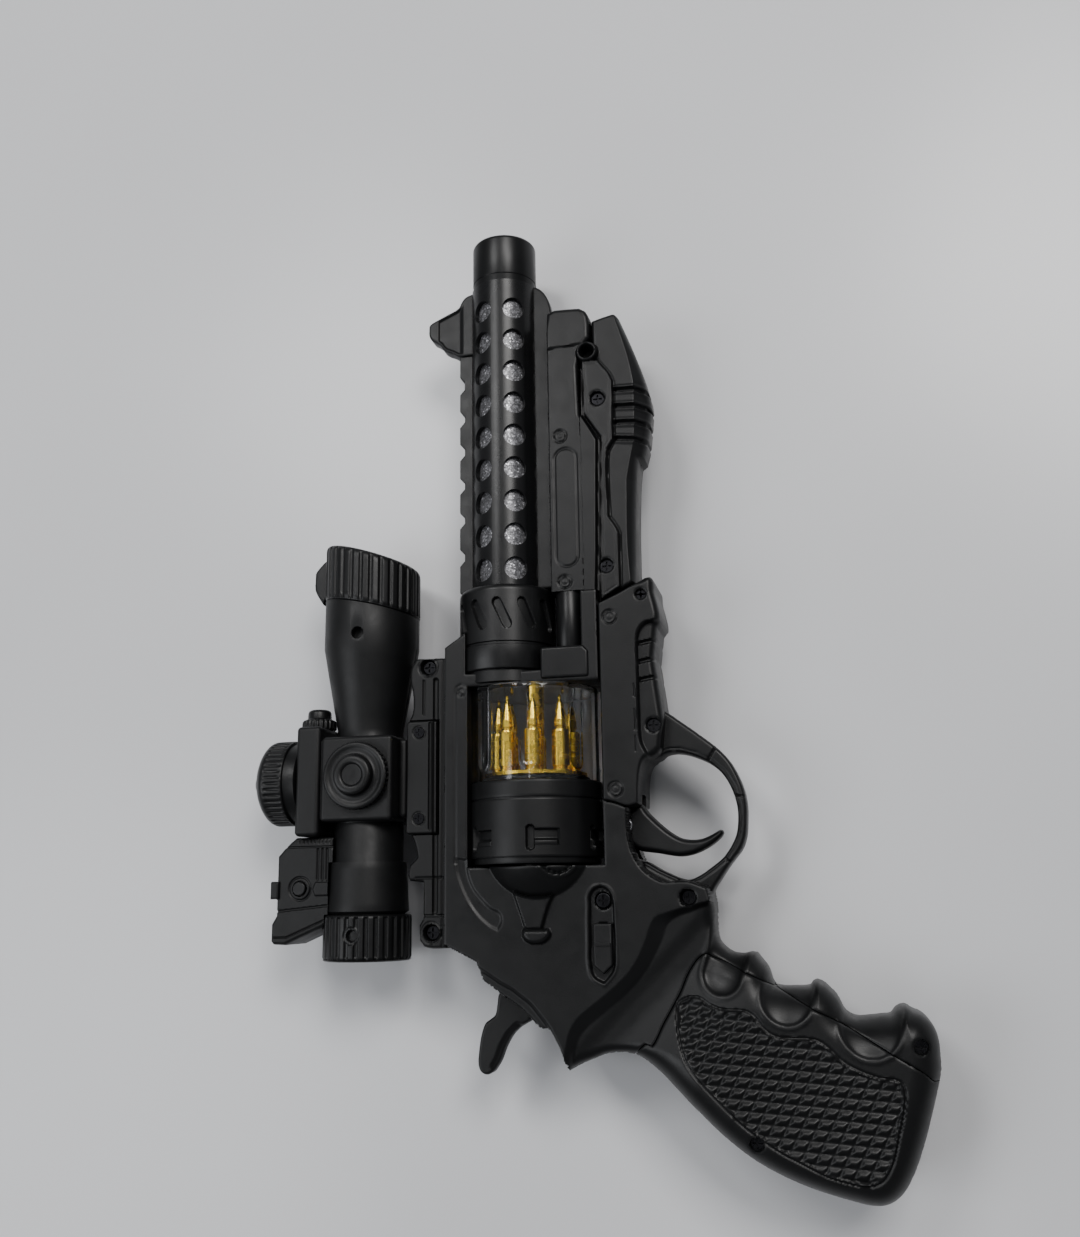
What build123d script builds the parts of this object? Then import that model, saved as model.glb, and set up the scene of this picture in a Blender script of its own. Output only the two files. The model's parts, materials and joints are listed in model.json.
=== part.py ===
from build123d import *
import math
import os

os.makedirs("parts", exist_ok=True)

# ---------------------------------------------------------------------------
# Battery toy revolver with light, sound and a clip-on toy scope, lying on its
# left side.  +Y runs to the muzzle, +X from the sights towards the grip,
# +Z up out of the table.  All sizes in millimetres.
# Outline points below are drawn about the barrel side of the frame and are
# shifted so that the origin is the centre of the bottom of the bounding box.
# ---------------------------------------------------------------------------
ORIGIN_X = 8.40          # drawing x of the row origin
ORIGIN_Y = 61.55         # drawing y of the row origin
AXIS_Z = 21.3            # height of the parting plane = drum radius

BARREL_X = -10.0         # barrel axis
TUBE_R = 11.5
TUBE_BORE = 9.9
CAP_R = 11.2
COLLAR_R = 15.9
DRUM_X = -1.0            # drum axis
DRUM_R = 21.3
DRUM_Y0, DRUM_SEAM_Y, CLEAR_Y0, DRUM_Y1 = 0.4, 19.8, 25.7, 56.0
SCOPE_X = -58.0          # scope axis
FRAME_H = 12.5           # half thickness of the frame
GRIP_H = 15.0            # half thickness of the grip
GUARD_H = 4.5
HOLE_R = 3.9             # barrel ventilation holes
HOLE_PITCH = 11.63
HOLE_Y0 = 95.7
SCREW_R = 1.25
HEAD_R = 2.4

TRIGGER_PIVOT = (28.0, 11.5)
HAMMER_PIVOT = (-3.0, -37.0)
GEAR_M = 0.8
GEAR_TEETH, PINION_TEETH = 24, 8
GEAR_DIST = GEAR_M * (GEAR_TEETH + PINION_TEETH) / 2 + 0.1
MOTOR_X = DRUM_X + GEAR_DIST

FILES = []


def W(*pts):
    return [(x - ORIGIN_X, y - ORIGIN_Y) for x, y in pts]


def level(z):
    return Plane.XY.offset(AXIS_Z + z)


def along_y(x, y, z=0.0):
    return Plane(origin=(x - ORIGIN_X, y - ORIGIN_Y, AXIS_Z + z), x_dir=(1, 0, 0), z_dir=(0, 1, 0))


def along_x(x, y, z=0.0):
    return Plane(origin=(x - ORIGIN_X, y - ORIGIN_Y, AXIS_Z + z), x_dir=(0, 1, 0), z_dir=(1, 0, 0))


def at_z(x, y, z):
    return Plane(origin=(x - ORIGIN_X, y - ORIGIN_Y, AXIS_Z + z), x_dir=(1, 0, 0), z_dir=(0, 0, 1))


def outline(z, *pts):
    """closed polygon face at height z above the parting plane"""
    with BuildSketch(level(z)) as profile:
        with BuildLine():
            Polyline(*W(*pts), close=True)
        make_face()
    return profile.sketch


def disc(plane, r):
    with BuildSketch(plane) as profile:
        Circle(r)
    return profile.sketch


def ring(plane, ro, ri):
    with BuildSketch(plane) as profile:
        Circle(ro)
        Circle(ri, mode=Mode.SUBTRACT)
    return profile.sketch


def rect(plane, a, b):
    with BuildSketch(plane) as profile:
        Rectangle(a, b)
    return profile.sketch


def block(x0, y0, z0, x1, y1, z1):
    """face of a box from z0, to be extruded by z1 - z0"""
    return outline(z0, (x0, y0), (x1, y0), (x1, y1), (x0, y1)), z1 - z0


def ease(edges, *sizes):
    """round the edges with the first radius that the shape allows"""
    for size in sizes:
        try:
            fillet(edges, size)
            return size
        except Exception:
            continue
    return 0


def top_edges(builder, z):
    """outer edges of the face that lies at height z"""
    face = [f for f in builder.faces().filter_by(Axis.Z) if abs(f.center().Z - (AXIS_Z + z)) < 1e-4]
    picked = ShapeList()
    for f in face:
        picked.extend(f.outer_wire().edges())
    return picked


def save(builder, name):
    builder.part.label = name
    export_step(builder.part, "parts/" + name + ".step")
    FILES.append(name)


def save_group(solids, name):
    group = Compound(solids)
    group.label = name
    export_step(group, "parts/" + name + ".step")
    FILES.append(name)


# ---------------------------------------------------------------------------
# outlines
# ---------------------------------------------------------------------------
FRAME = [(-28.3, 69.8), (-20.7, 74.9), (-20.7, 61.0), (17.05, 61.0), (17.05, 86.0), (22.7, 86.0), (22.7, 19.0),
         (30.4, 16.7), (30.2, 9.7), (31.3, 3.7), (33.6, -0.8), (37.1, -4.1), (41.8, -6.2), (46.0, -7.2),
         (51.5, -10.5), (50.8, -13.6), (45.3, -15.8), (39.3, -16.9), (36.1, -24.0), (32.9, -31.1), (23.6, -39.6),
         (14.4, -46.1), (10.7, -50.9), (9.5, -59.8), (8.3, -54.5), (4.8, -48.4), (1.4, -47.6), (-0.7, -45.4),
         (-10.6, -38.0), (-16.2, -34.0), (-17.8, -28.7), (-28.3, -23.6)]
NECK = [(40.0, -5.6), (47.7, -5.6), (53.3, -7.6), (54.7, -12.9), (54.7, -18.7), (55.4, -23.1), (51.8, -26.7),
        (48.4, -29.7), (44.6, -36.7), (39.8, -45.1), (35.8, -52.5), (33.1, -57.1), (29.9, -55.6), (24.5, -54.9),
        (17.7, -56.7), (11.5, -59.1), (9.8, -60.2), (9.0, -50.0), (22.0, -36.0), (33.0, -20.0)]
FINGERS = [(55.4, -23.1), (57.6, -26.0), (61.1, -27.5), (65.6, -26.3), (67.9, -28.4), (69.7, -31.8), (71.9, -34.6),
           (75.3, -36.0), (81.0, -36.0), (83.4, -34.3), (86.7, -36.0), (89.4, -38.8), (90.6, -41.6), (94.7, -43.7),
           (98.8, -44.3), (104.5, -41.8), (107.4, -41.2), (111.4, -42.3), (113.9, -45.0), (115.7, -49.5),
           (115.9, -56.2), (115.2, -60.6)]
COVER_LINE = [(111.0, -57.6), (102.1, -52.4), (94.3, -48.0), (83.0, -42.0), (73.1, -36.6), (62.1, -30.6),
              (51.8, -26.7)]
COVER_BACK = [(48.4, -29.7), (44.6, -36.7), (39.8, -45.1), (35.8, -52.5), (33.1, -57.1)]
BUTT = [(36.5, -60.2), (41.6, -65.0), (47.2, -70.6), (55.6, -78.9), (63.0, -84.2), (74.8, -89.4), (88.3, -93.3),
        (96.3, -94.2), (100.5, -92.8), (103.4, -90.1), (106.4, -85.3), (109.8, -77.4), (113.3, -66.9),
        (115.2, -60.6)]
GUARD_OUT = [(41.3, 47.3), (52.7, 38.5), (59.2, 33.5), (63.5, 27.8), (65.6, 21.0), (66.1, 13.5), (64.8, 6.7),
             (62.4, 1.7), (59.3, -2.1), (56.1, -6.1), (53.5, -10.5), (46.0, -12.0), (35.0, -6.0), (30.5, 3.7)]
GUARD_IN = [(31.5, 6.0), (33.4, 4.0), (35.6, 0.2), (39.3, -2.0), (44.7, -4.4), (47.7, -5.1), (53.3, -1.9),
            (58.8, 1.2), (61.8, 6.7), (63.1, 13.6), (62.7, 19.0), (60.6, 24.9), (56.9, 29.3), (52.4, 31.6),
            (46.2, 32.8), (41.3, 31.6)]
FOREGRIP = [(22.9, 81.2), (37.3, 87.9), (39.3, 88.9), (40.6, 87.5), (41.2, 78.0), (41.2, 33.6), (38.2, 31.9),
            (35.0, 30.5), (34.0, 26.0), (33.7, 17.6), (30.6, 16.9), (22.9, 19.1)]

SOUND_BAY = [(-24.6, -8.6), (-24.6, -23.3), (-17.2, -26.9), (-16.2, -30.0), (-2.6, -30.0), (-2.6, -8.6)]
SPEAKER = (-12.8, -18.6)

# battery bay, three AAA cells side by side across the grip
BAY_C = (76.5, -64.2)
BAY_D = (math.cos(math.radians(-25)), math.sin(math.radians(-25)))
BAY_N = (-BAY_D[1], BAY_D[0])
CELL_R, CELL_L, CELL_PITCH = 5.2, 44.2, 10.9


def bay(a, b):
    return (BAY_C[0] + a * BAY_D[0] + b * BAY_N[0], BAY_C[1] + a * BAY_D[1] + b * BAY_N[1])


BAY = [bay(-26, 16.6), bay(26, 16.6), bay(26, -16.6), (50.5, -71.6), (46.7, -64.5)]


def along_bay(a, b):
    cx, cy = bay(a, b)
    return Plane(origin=(cx - ORIGIN_X, cy - ORIGIN_Y, AXIS_Z), x_dir=(BAY_N[0], BAY_N[1], 0),
                 z_dir=(BAY_D[0], BAY_D[1], 0))


# screw positions: x, y, height of the seat under the head
FRAME_SCREWS = [(22.0, -10.9, 9.4), (47.6, -10.4, 7.0), (36.7, 83.2, 9.6), (39.0, 41.7, 7.5), (110.4, -51.6, 9.0)]
LIGHT_SCREWS = [(25.7, 93.9, 7.6), (24.2, 151.8, 7.6)]
LIGHT_X = 27.6           # axis of the lamp in the light housing
SCOPE_SCREWS = [(SCOPE_X + 0.9, 76.2, 12.6), (SCOPE_X, -20.6, 11.6)]
MOUNT_SCREWS = [(-35.2, 64.7, 4.6), (-33.6, -20.0, 4.6)]
CLAMP_SCREWS = [(-37.7, 43.0), (-37.6, 15.4)]


def screw_holes(points, through, blind):
    """counterbore down to the seat, clearance hole below it"""
    for x, y, seat in points:
        extrude(disc(at_z(x, y, seat), HEAD_R + 0.2), amount=20, mode=Mode.SUBTRACT)
        extrude(disc(at_z(x, y, through), SCREW_R + 0.1), amount=seat - through + 0.01, mode=Mode.SUBTRACT)


def pilot_holes(points, depth):
    for x, y, seat in points:
        extrude(disc(at_z(x, y, -depth), SCREW_R + 0.02), amount=depth, mode=Mode.SUBTRACT)


def make_screw(x, y, seat, depth):
    with BuildPart() as screw:
        extrude(disc(at_z(x, y, seat), HEAD_R), amount=1.7)
        fillet(screw.faces().sort_by(Axis.Z)[-1].edges(), 0.5)
        extrude(disc(at_z(x, y, seat), SCREW_R), amount=-(seat + depth))
        extrude(rect(at_z(x, y, seat + 1.0), 3.0, 0.6), amount=2, mode=Mode.SUBTRACT)
        extrude(rect(at_z(x, y, seat + 1.0), 0.6, 3.0), amount=2, mode=Mode.SUBTRACT)
    return screw.part


# ---------------------------------------------------------------------------
# frame shells: one blank for both sides, then what differs
# ---------------------------------------------------------------------------
with BuildPart() as frame_blank:
    extrude(outline(0, *FRAME), amount=FRAME_H)
    face, h = block(-20.0, -0.2, -1, 30.0, 56.4, 30)
    extrude(face, amount=h, mode=Mode.SUBTRACT)
    # strip of the frame beside the drum, below the fore-end seam
    extrude(outline(0, (22.7, 19.0), (30.4, 16.7), (30.2, 9.7), (31.3, 3.7), (33.6, -0.8), (22.7, -0.8)),
            amount=FRAME_H)
    ease(top_edges(frame_blank, FRAME_H), 0.9, 0.6, 0.4)

for_drum = DRUM_R + 0.45
with BuildPart() as frame_half:
    add(frame_blank.part)
    # neck, a little lower than the frame face
    extrude(outline(0, *NECK), amount=10.4)
    # guard band
    extrude(outline(0, *(GUARD_OUT + GUARD_IN)), amount=GUARD_H)
    # recoil shield bulging behind the drum
    with BuildPart(mode=Mode.PRIVATE) as bulge:
        with Locations((2.0 - ORIGIN_X, 6.5 - ORIGIN_Y, AXIS_Z)):
            Sphere(21.0)
        face, h = block(-40, -0.2, -30, 60, 60, 30)
        extrude(face, amount=h, mode=Mode.SUBTRACT)
        face, h = block(-40, -60, -30, 60, 60, 9.0)
        extrude(face, amount=h, mode=Mode.SUBTRACT)
    add(bulge.part)
    # thumb piece under the shield
    extrude(outline(11.0, (-4.2, -7.4), (-1.1, -14.1), (-0.9, -18.0), (-2.9, -19.4), (-2.4, -22.3), (1.6, -23.8),
                    (5.6, -21.8), (6.2, -19.4), (4.2, -18.0), (5.1, -14.2), (8.9, -7.7)), amount=2.8)
    # clearance for the drum
    extrude(disc(along_y(DRUM_X, -0.2), for_drum), amount=56.6, mode=Mode.SUBTRACT)
    # clearance for the collar and the crane
    extrude(disc(along_y(BARREL_X, 57.2), COLLAR_R + 0.1), amount=40, mode=Mode.SUBTRACT)
    face, h = block(3.7, 57.2, -1, 19.8, 68.2, 30)
    extrude(face, amount=h, mode=Mode.SUBTRACT)
    # bores on the drum axis
    extrude(disc(along_y(DRUM_X, 56), 1.56), amount=2, mode=Mode.SUBTRACT)
    extrude(disc(along_y(DRUM_X, -3.0), 6.4), amount=4, mode=Mode.SUBTRACT)
    extrude(disc(along_y(DRUM_X, -9.2), 1.51), amount=3, mode=Mode.SUBTRACT)
    # gear room, motor bay, sound bay, switch bay
    for x0, y0, x1, y1, zz in [(-12.2, -7.4, 16.6, -2.4, 11.0), (3.7, -31.2, 20.1, -7.3, 6.35),
                               (18.6, -30.0, 25.2, -16.0, 10.4),
                               (23.2, -8.4, 30.4, -1.8, 3.3)]:
        face, h = block(x0, y0, -1, x1, y1, zz)
        extrude(face, amount=h, mode=Mode.SUBTRACT)
    extrude(outline(-1, *SOUND_BAY), amount=11.0, mode=Mode.SUBTRACT)
    # trigger slot
    extrude(outline(-1, (26.5, 15.2), (31.0, 19.4), (36.0, 19.4), (36.0, -1.2), (30.0, -1.2), (25.5, 8.6)),
            amount=4.9, mode=Mode.SUBTRACT)
    extrude(disc(at_z(*TRIGGER_PIVOT, -1), 3.8), amount=4.9, mode=Mode.SUBTRACT)
    extrude(disc(at_z(*TRIGGER_PIVOT, -1), 1.2), amount=10, mode=Mode.SUBTRACT)
    # hammer slot
    extrude(outline(-1, (-8.4, -33.4), (-22.0, -30.0), (-22.0, -50.0), (2.4, -52.0), (2.2, -36.0)),
            amount=4.6, mode=Mode.SUBTRACT)
    extrude(disc(at_z(*HAMMER_PIVOT, -1), 4.7), amount=4.6, mode=Mode.SUBTRACT)
    extrude(disc(at_z(*HAMMER_PIVOT, -1), 1.5), amount=10, mode=Mode.SUBTRACT)

with BuildPart() as frame_right_shell:
    add(frame_half.part)
    extrude(outline(0, *(NECK[3:5] + FINGERS + COVER_LINE)), amount=GRIP_H - 1.0)
    ease(top_edges(frame_right_shell, GRIP_H - 1.0), 3.0, 2.0, 1.0, 0.6)
    extrude(outline(-1, *BAY), amount=1 + CELL_R + 0.4, mode=Mode.SUBTRACT)
    # torsion spring pockets round both pins
    extrude(disc(at_z(*TRIGGER_PIVOT, 3.8), 3.3), amount=3.4, mode=Mode.SUBTRACT)
    extrude(disc(at_z(*HAMMER_PIVOT, 3.5), 3.9), amount=3.6, mode=Mode.SUBTRACT)
    # recess and slot of the power switch
    extrude(outline(FRAME_H - 1.2, (18.4, -6.9), (25.4, -6.9), (25.3, -31.0), (21.8, -34.0), (18.4, -31.0)),
            amount=3, mode=Mode.SUBTRACT)
    face, h = block(20.6, -28.6, 9, 23.2, -17.4, 14)
    extrude(face, amount=h, mode=Mode.SUBTRACT)
    screw_holes(FRAME_SCREWS[:2] + FRAME_SCREWS[4:], -1, 0)
save(frame_right_shell, "frame_right_shell")

with BuildPart() as frame_left_blank:
    add(frame_half.part)
    extrude(outline(0, *([(54.7, -18.7)] + FINGERS + BUTT[-2::-1] + COVER_BACK[::-1] + [(51.8, -26.7)])),
            amount=GRIP_H)
    ease(top_edges(frame_left_blank, GRIP_H), 3.5, 2.0, 1.0, 0.6)
    extrude(outline(-1, *BAY), amount=1 + CELL_R + 0.4, mode=Mode.SUBTRACT)
    # sound holes over the speaker
    for x, y in [SPEAKER] + [(SPEAKER[0] + 4.4 * math.cos(math.radians(a)), SPEAKER[1] + 4.4 * math.sin(math.radians(a)))
                             for a in range(0, 360, 60)]:
        extrude(disc(at_z(x, y, 9), 0.9), amount=6, mode=Mode.SUBTRACT)
with BuildPart() as frame_left_shell:
    mirror(frame_left_blank.part, about=Plane.XY.offset(AXIS_Z))
    pilot_holes([FRAME_SCREWS[0], FRAME_SCREWS[1], FRAME_SCREWS[4]], 6.0)
    pilot_holes([(64.2, -77.9, 0)], 6.0)
save(frame_left_shell, "frame_left_shell")

# removable right side of the grip, over the cells
COVER_SCREW = (64.2, -77.9, 9.0)
with BuildPart() as grip_battery_cover:
    extrude(outline(0, *([(114.9, -60.9)] + [(110.9, -57.9), (102.0, -52.7), (94.2, -48.3), (82.9, -42.3),
                                              (73.0, -36.9), (62.0, -30.9), (51.9, -27.1)] +
                         [(48.7, -29.9), (44.9, -36.9), (40.1, -45.3), (36.1, -52.7), (33.4, -57.3)] + BUTT[:-1])),
            amount=GRIP_H)
    ease(top_edges(grip_battery_cover, GRIP_H), 3.0, 2.0, 1.0, 0.6)
    extrude(outline(-1, *BAY), amount=1 + CELL_R + 0.4, mode=Mode.SUBTRACT)
    screw_holes([COVER_SCREW], -1, 0)
    # chequered panel field
    extrude(outline(GRIP_H - 0.5, (46.0, -40.5), (44.0, -46.5), (45.5, -55.0), (49.5, -65.0), (59.0, -74.0),
                    (60.5, -72.5), (66.5, -72.5), (69.5, -79.0), (78.5, -84.1), (92.0, -87.0), (98.1, -85.4),
                    (101.5, -79.0), (104.2, -66.3), (103.5, -61.6), (98.8, -59.5), (91.0, -57.6), (87.3, -52.9),
                    (82.8, -50.1), (75.2, -49.4), (69.2, -47.9), (65.8, -43.3), (58.0, -41.5), (50.4, -39.6)),
            amount=2, mode=Mode.SUBTRACT)
save(grip_battery_cover, "grip_battery_cover")

# ---------------------------------------------------------------------------
# fore-end of the frame, two halves
# ---------------------------------------------------------------------------
with BuildPart() as foregrip_blank:
    extrude(outline(0, *FOREGRIP), amount=FRAME_H)
    ease(top_edges(foregrip_blank, FRAME_H), 1.2, 0.8, 0.5)
    # lowered side panel with slanted ribs
    extrude(outline(10.6, (41.3, 72.8), (36.4, 70.5), (35.3, 68.0), (35.3, 36.6), (37.2, 31.0), (44.0, 31.0),
                    (44.0, 73.5)), amount=4, mode=Mode.SUBTRACT)
    for y in (67.9, 62.0, 56.1):
        extrude(outline(9.9, (36.0, y), (41.3, y + 1.4), (41.3, y + 2.2), (36.0, y + 0.8)), amount=3,
                mode=Mode.SUBTRACT)
    extrude(outline(-1, (29.0, 15.0), (36.0, 15.0), (36.0, 20.6), (29.0, 20.6)), amount=4.9, mode=Mode.SUBTRACT)
    # clearance for the drum
    extrude(disc(along_y(DRUM_X, -0.2), for_drum), amount=56.6, mode=Mode.SUBTRACT)
    # hollow
    extrude(outline(-1, (25.2, 24.0), (31.6, 24.0), (31.6, 60.0), (36.0, 66.0), (36.0, 76.0), (25.2, 76.0)),
            amount=10.5, mode=Mode.SUBTRACT)
with BuildPart() as foregrip_right:
    add(foregrip_blank.part)
    screw_holes([FRAME_SCREWS[2], FRAME_SCREWS[3]], -1, 0)
    for x, y in ((26.5, 76.6), (26.9, 22.2)):
        extrude(ring(at_z(x, y, FRAME_H - 0.35), 2.5, 1.9), amount=1, mode=Mode.SUBTRACT)
save(foregrip_right, "foregrip_right")
with BuildPart() as foregrip_left:
    mirror(foregrip_blank.part, about=Plane.XY.offset(AXIS_Z))
    pilot_holes([FRAME_SCREWS[2], FRAME_SCREWS[3]], 6.0)
save(foregrip_left, "foregrip_left")

# ---------------------------------------------------------------------------
# barrel: perforated tube, muzzle cap, film sleeve, rib, sight, collar
# ---------------------------------------------------------------------------
with BuildPart() as barrel_tube:
    with BuildSketch(along_y(BARREL_X, 63.0)):
        Circle(TUBE_R)
        Circle(TUBE_BORE, mode=Mode.SUBTRACT)
    extrude(amount=199.7 - 63.0)
    for k in range(9):
        for a in (30, 90, 150, 210, 270, 330):
            hole = Plane(origin=(BARREL_X - ORIGIN_X, HOLE_Y0 + k * HOLE_PITCH - ORIGIN_Y, AXIS_Z),
                         x_dir=(0, 1, 0), z_dir=(math.sin(math.radians(a)), 0, math.cos(math.radians(a))))
            extrude(disc(hole.offset(TUBE_BORE - 3), HOLE_R), amount=6, mode=Mode.SUBTRACT)
save(barrel_tube, "barrel_tube")

with BuildPart() as muzzle_cap:
    with BuildSketch(along_y(BARREL_X, 199.8)):
        Circle(CAP_R - 0.2)
    extrude(amount=3.0)
    with BuildSketch(along_y(BARREL_X, 202.3)):
        Circle(CAP_R)
    extrude(amount=15.0)
    fillet(muzzle_cap.faces().sort_by(Axis.Y)[-1].edges(), 1.6)
    with BuildSketch(along_y(BARREL_X, 195.8)):
        Circle(TUBE_BORE - 0.02)
    extrude(amount=4.5)
    extrude(disc(along_y(BARREL_X, 211.0), 7.6), amount=10, mode=Mode.SUBTRACT)
    extrude(disc(along_y(BARREL_X, 194.0), 5.8), amount=26, mode=Mode.SUBTRACT)
save(muzzle_cap, "muzzle_cap")

with BuildPart() as muzzle_lens:
    with BuildSketch(along_y(BARREL_X, 211.02)):
        Circle(7.55)
    extrude(amount=1.6)
    fillet(muzzle_lens.faces().sort_by(Axis.Y)[-1].edges(), 0.6)
save(muzzle_lens, "muzzle_lens")

with BuildPart() as glitter_sleeve:
    extrude(ring(along_y(BARREL_X, 71.0), TUBE_BORE - 0.15, TUBE_BORE - 0.85), amount=124.6)
save(glitter_sleeve, "glitter_sleeve")

with BuildPart() as barrel_led:
    extrude(disc(along_y(BARREL_X, 78.0), 2.5), amount=7.0)
    fillet(barrel_led.faces().sort_by(Axis.Y)[-1].edges(), 2.2)
    extrude(disc(along_y(BARREL_X, 77.0), 2.9), amount=1.0)
save(barrel_led, "barrel_led")

with BuildPart() as led_holder:
    extrude(ring(along_y(BARREL_X, 73.0), TUBE_BORE - 0.95, 2.55), amount=3.9)
save(led_holder, "led_holder")

RIB_TEETH = [(177.0, 168.2), (161.8, 155.4), (149.6, 143.4), (137.4, 130.9), (125.2, 118.4), (112.8, 105.4),
             (99.6, 90.0)]
with BuildPart() as barrel_rib:
    rib = [(-19.0, 176.0), (-25.7, 176.0)]
    for n, (a, b) in enumerate(RIB_TEETH):
        if n:
            rib += [(-24.0, a + 1.9), (-25.7, a)]
        rib += [(-25.7, b)]
        if n < len(RIB_TEETH) - 1:
            rib += [(-24.0, b - 1.9)]
    rib += [(-19.0, 90.0)]
    with BuildSketch(level(-3.2)):
        with BuildLine():
            Polyline(*W(*rib), close=True)
        make_face()
    extrude(amount=6.4)
    extrude(disc(along_y(BARREL_X, 60), TUBE_R + 0.01), amount=140, mode=Mode.SUBTRACT)
save(barrel_rib, "barrel_rib")

with BuildPart() as front_sight:
    with BuildSketch(level(-3.0)):
        with BuildLine():
            Polyline(*W((-18.0, 200.4), (-23.3, 200.0), (-25.6, 197.6), (-26.3, 195.3), (-33.9, 192.0),
                        (-37.3, 190.2), (-37.7, 186.0), (-35.2, 183.0), (-33.5, 181.9), (-31.2, 179.3),
                        (-26.0, 176.4), (-18.0, 176.1)), close=True)
        make_face()
    extrude(amount=6.0)
    chamfer(front_sight.edges().filter_by(Axis.Z).group_by(Axis.X)[0], 0.5)
    extrude(disc(along_y(BARREL_X, 60), TUBE_R + 0.01), amount=150, mode=Mode.SUBTRACT)
save(front_sight, "front_sight")

with BuildPart() as barrel_collar:
    with BuildSketch(along_y(BARREL_X, 61.4)):
        Circle(COLLAR_R)
    extrude(amount=28.1)
    fillet(barrel_collar.faces().sort_by(Axis.Y)[-1].edges(), 1.2)
    with BuildSketch(along_y(BARREL_X, 57.4)):
        Circle(COLLAR_R - 1.3)
    extrude(amount=4.5)
    extrude(ring(along_y(BARREL_X, 69.6), COLLAR_R + 1, COLLAR_R - 0.5), amount=0.6, mode=Mode.SUBTRACT)
    extrude(disc(along_y(BARREL_X, 63.0), TUBE_R + 0.02), amount=40, mode=Mode.SUBTRACT)
    # slanted slots round the front half
    for a in range(0, 360, 30):
        slot = Plane(origin=(BARREL_X - ORIGIN_X, 79.6 - ORIGIN_Y, AXIS_Z), x_dir=(0, 1, 0),
                     z_dir=(math.sin(math.radians(a)), 0, math.cos(math.radians(a)))).offset(COLLAR_R - 1.1)
        with BuildSketch(slot):
            with Locations((0, 0)):
                SlotOverall(11.6, 2.8, rotation=25)
        extrude(amount=4, mode=Mode.SUBTRACT)
    # flat for the crane block
    face, h = block(3.7, 57.0, -20, 20, 68.2, 20)
    extrude(face, amount=h, mode=Mode.SUBTRACT)
save(barrel_collar, "barrel_collar")

# ---------------------------------------------------------------------------
# under-lug, light housing
# ---------------------------------------------------------------------------
with BuildPart() as underlug_blank:
    extrude(outline(0, (7.1, 86.4), (18.0, 86.4), (18.0, 166.0), (20.5, 172.2), (22.3, 174.0), (22.3, 179.7),
                    (21.0, 184.3), (18.3, 186.0), (9.7, 186.4), (7.1, 185.0)), amount=10.0)
    ease(top_edges(underlug_blank, 10.0), 0.9, 0.6, 0.4)
    extrude(outline(0, (-3.0, 89.7), (7.2, 89.7), (7.2, 190.0), (5.9, 195.6), (3.6, 199.0), (-3.0, 201.4)), amount=2.5)
    # seam, flush discs and the long pad
    extrude(outline(9.5, (6.9, 171.4), (18.6, 171.8), (18.6, 172.4), (6.9, 172.0)), amount=2, mode=Mode.SUBTRACT)
    for x, y in ((11.2, 139.8), (12.1, 89.9)):
        extrude(ring(at_z(x, y, 9.6), 2.2, 1.7), amount=1, mode=Mode.SUBTRACT)
    with BuildSketch(level(9.55)):
        with Locations(*W((12.9, 115.0))):
            SlotOverall(41.0, 7.6, rotation=90)
            SlotOverall(40.2, 6.8, rotation=90, mode=Mode.SUBTRACT)
    extrude(amount=2, mode=Mode.SUBTRACT)
    extrude(outline(9.3, (17.2, 87.0), (17.6, 87.0), (17.6, 166.0), (17.2, 166.0)), amount=2, mode=Mode.SUBTRACT)
    extrude(disc(along_y(BARREL_X, 60), TUBE_R + 0.02), amount=150, mode=Mode.SUBTRACT)
    extrude(disc(at_z(21.1, 168.8, -1), 3.9), amount=12, mode=Mode.SUBTRACT)
with BuildPart() as underlug_right:
    add(underlug_blank.part)
save(underlug_right, "underlug_right")
with BuildPart() as underlug_left:
    mirror(underlug_blank.part, about=Plane.XY.offset(AXIS_Z))
save(underlug_left, "underlug_left")

LIGHT = [(18.2, 86.4), (22.9, 86.4), (22.9, 82.6), (34.6, 88.0), (35.0, 104.0), (35.8, 121.0), (36.6, 130.5),
         (38.6, 131.0), (39.9, 136.5), (41.0, 143.5), (41.6, 149.5), (39.3, 160.0), (35.2, 172.3), (31.4, 182.0),
         (29.8, 182.6), (22.5, 180.8), (22.5, 172.0), (20.5, 171.8), (18.2, 165.6)]
with BuildPart() as light_blank:
    extrude(outline(0, *LIGHT), amount=9.0)
    ease(top_edges(light_blank, 9.0), 2.6, 1.6, 0.8, 0.5)
    # channel beside the under-lug
    extrude(outline(4.0, (18.0, 86.0), (22.7, 86.0), (22.7, 134.0), (18.4, 145.0), (18.0, 145.0)), amount=8,
            mode=Mode.SUBTRACT)
    # raised screw plate
    extrude(outline(7.0, (18.3, 145.2), (22.9, 133.6), (22.9, 83.6), (29.9, 87.0), (30.1, 104.9), (26.6, 110.3),
                    (26.6, 133.5), (29.0, 136.7), (29.3, 159.8), (26.1, 165.0), (18.3, 165.0)), amount=3.6)
    ease(top_edges(light_blank, 10.6), 0.5, 0.3)
    for y in (154.6, 148.8, 143.1, 137.3):
        extrude(outline(7.6, (29.4, y), (42.0, y - 1.0), (42.0, y - 0.2), (29.4, y + 0.8)), amount=4,
                mode=Mode.SUBTRACT)
    extrude(disc(at_z(21.1, 168.8, 0), 3.7), amount=11.6)
    extrude(disc(at_z(21.1, 168.8, 6.0), 2.5), amount=8, mode=Mode.SUBTRACT)
    # lamp bore and wire way
    extrude(disc(along_y(LIGHT_X, 174.0), 5.2), amount=10, mode=Mode.SUBTRACT)
    extrude(disc(along_y(LIGHT_X, 158.0), 4.0), amount=17, mode=Mode.SUBTRACT)
    extrude(disc(along_y(LIGHT_X, 97.5), 2.0), amount=70, mode=Mode.SUBTRACT)
with BuildPart() as light_housing_right:
    add(light_blank.part)
    screw_holes(LIGHT_SCREWS, -1, 0)
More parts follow.
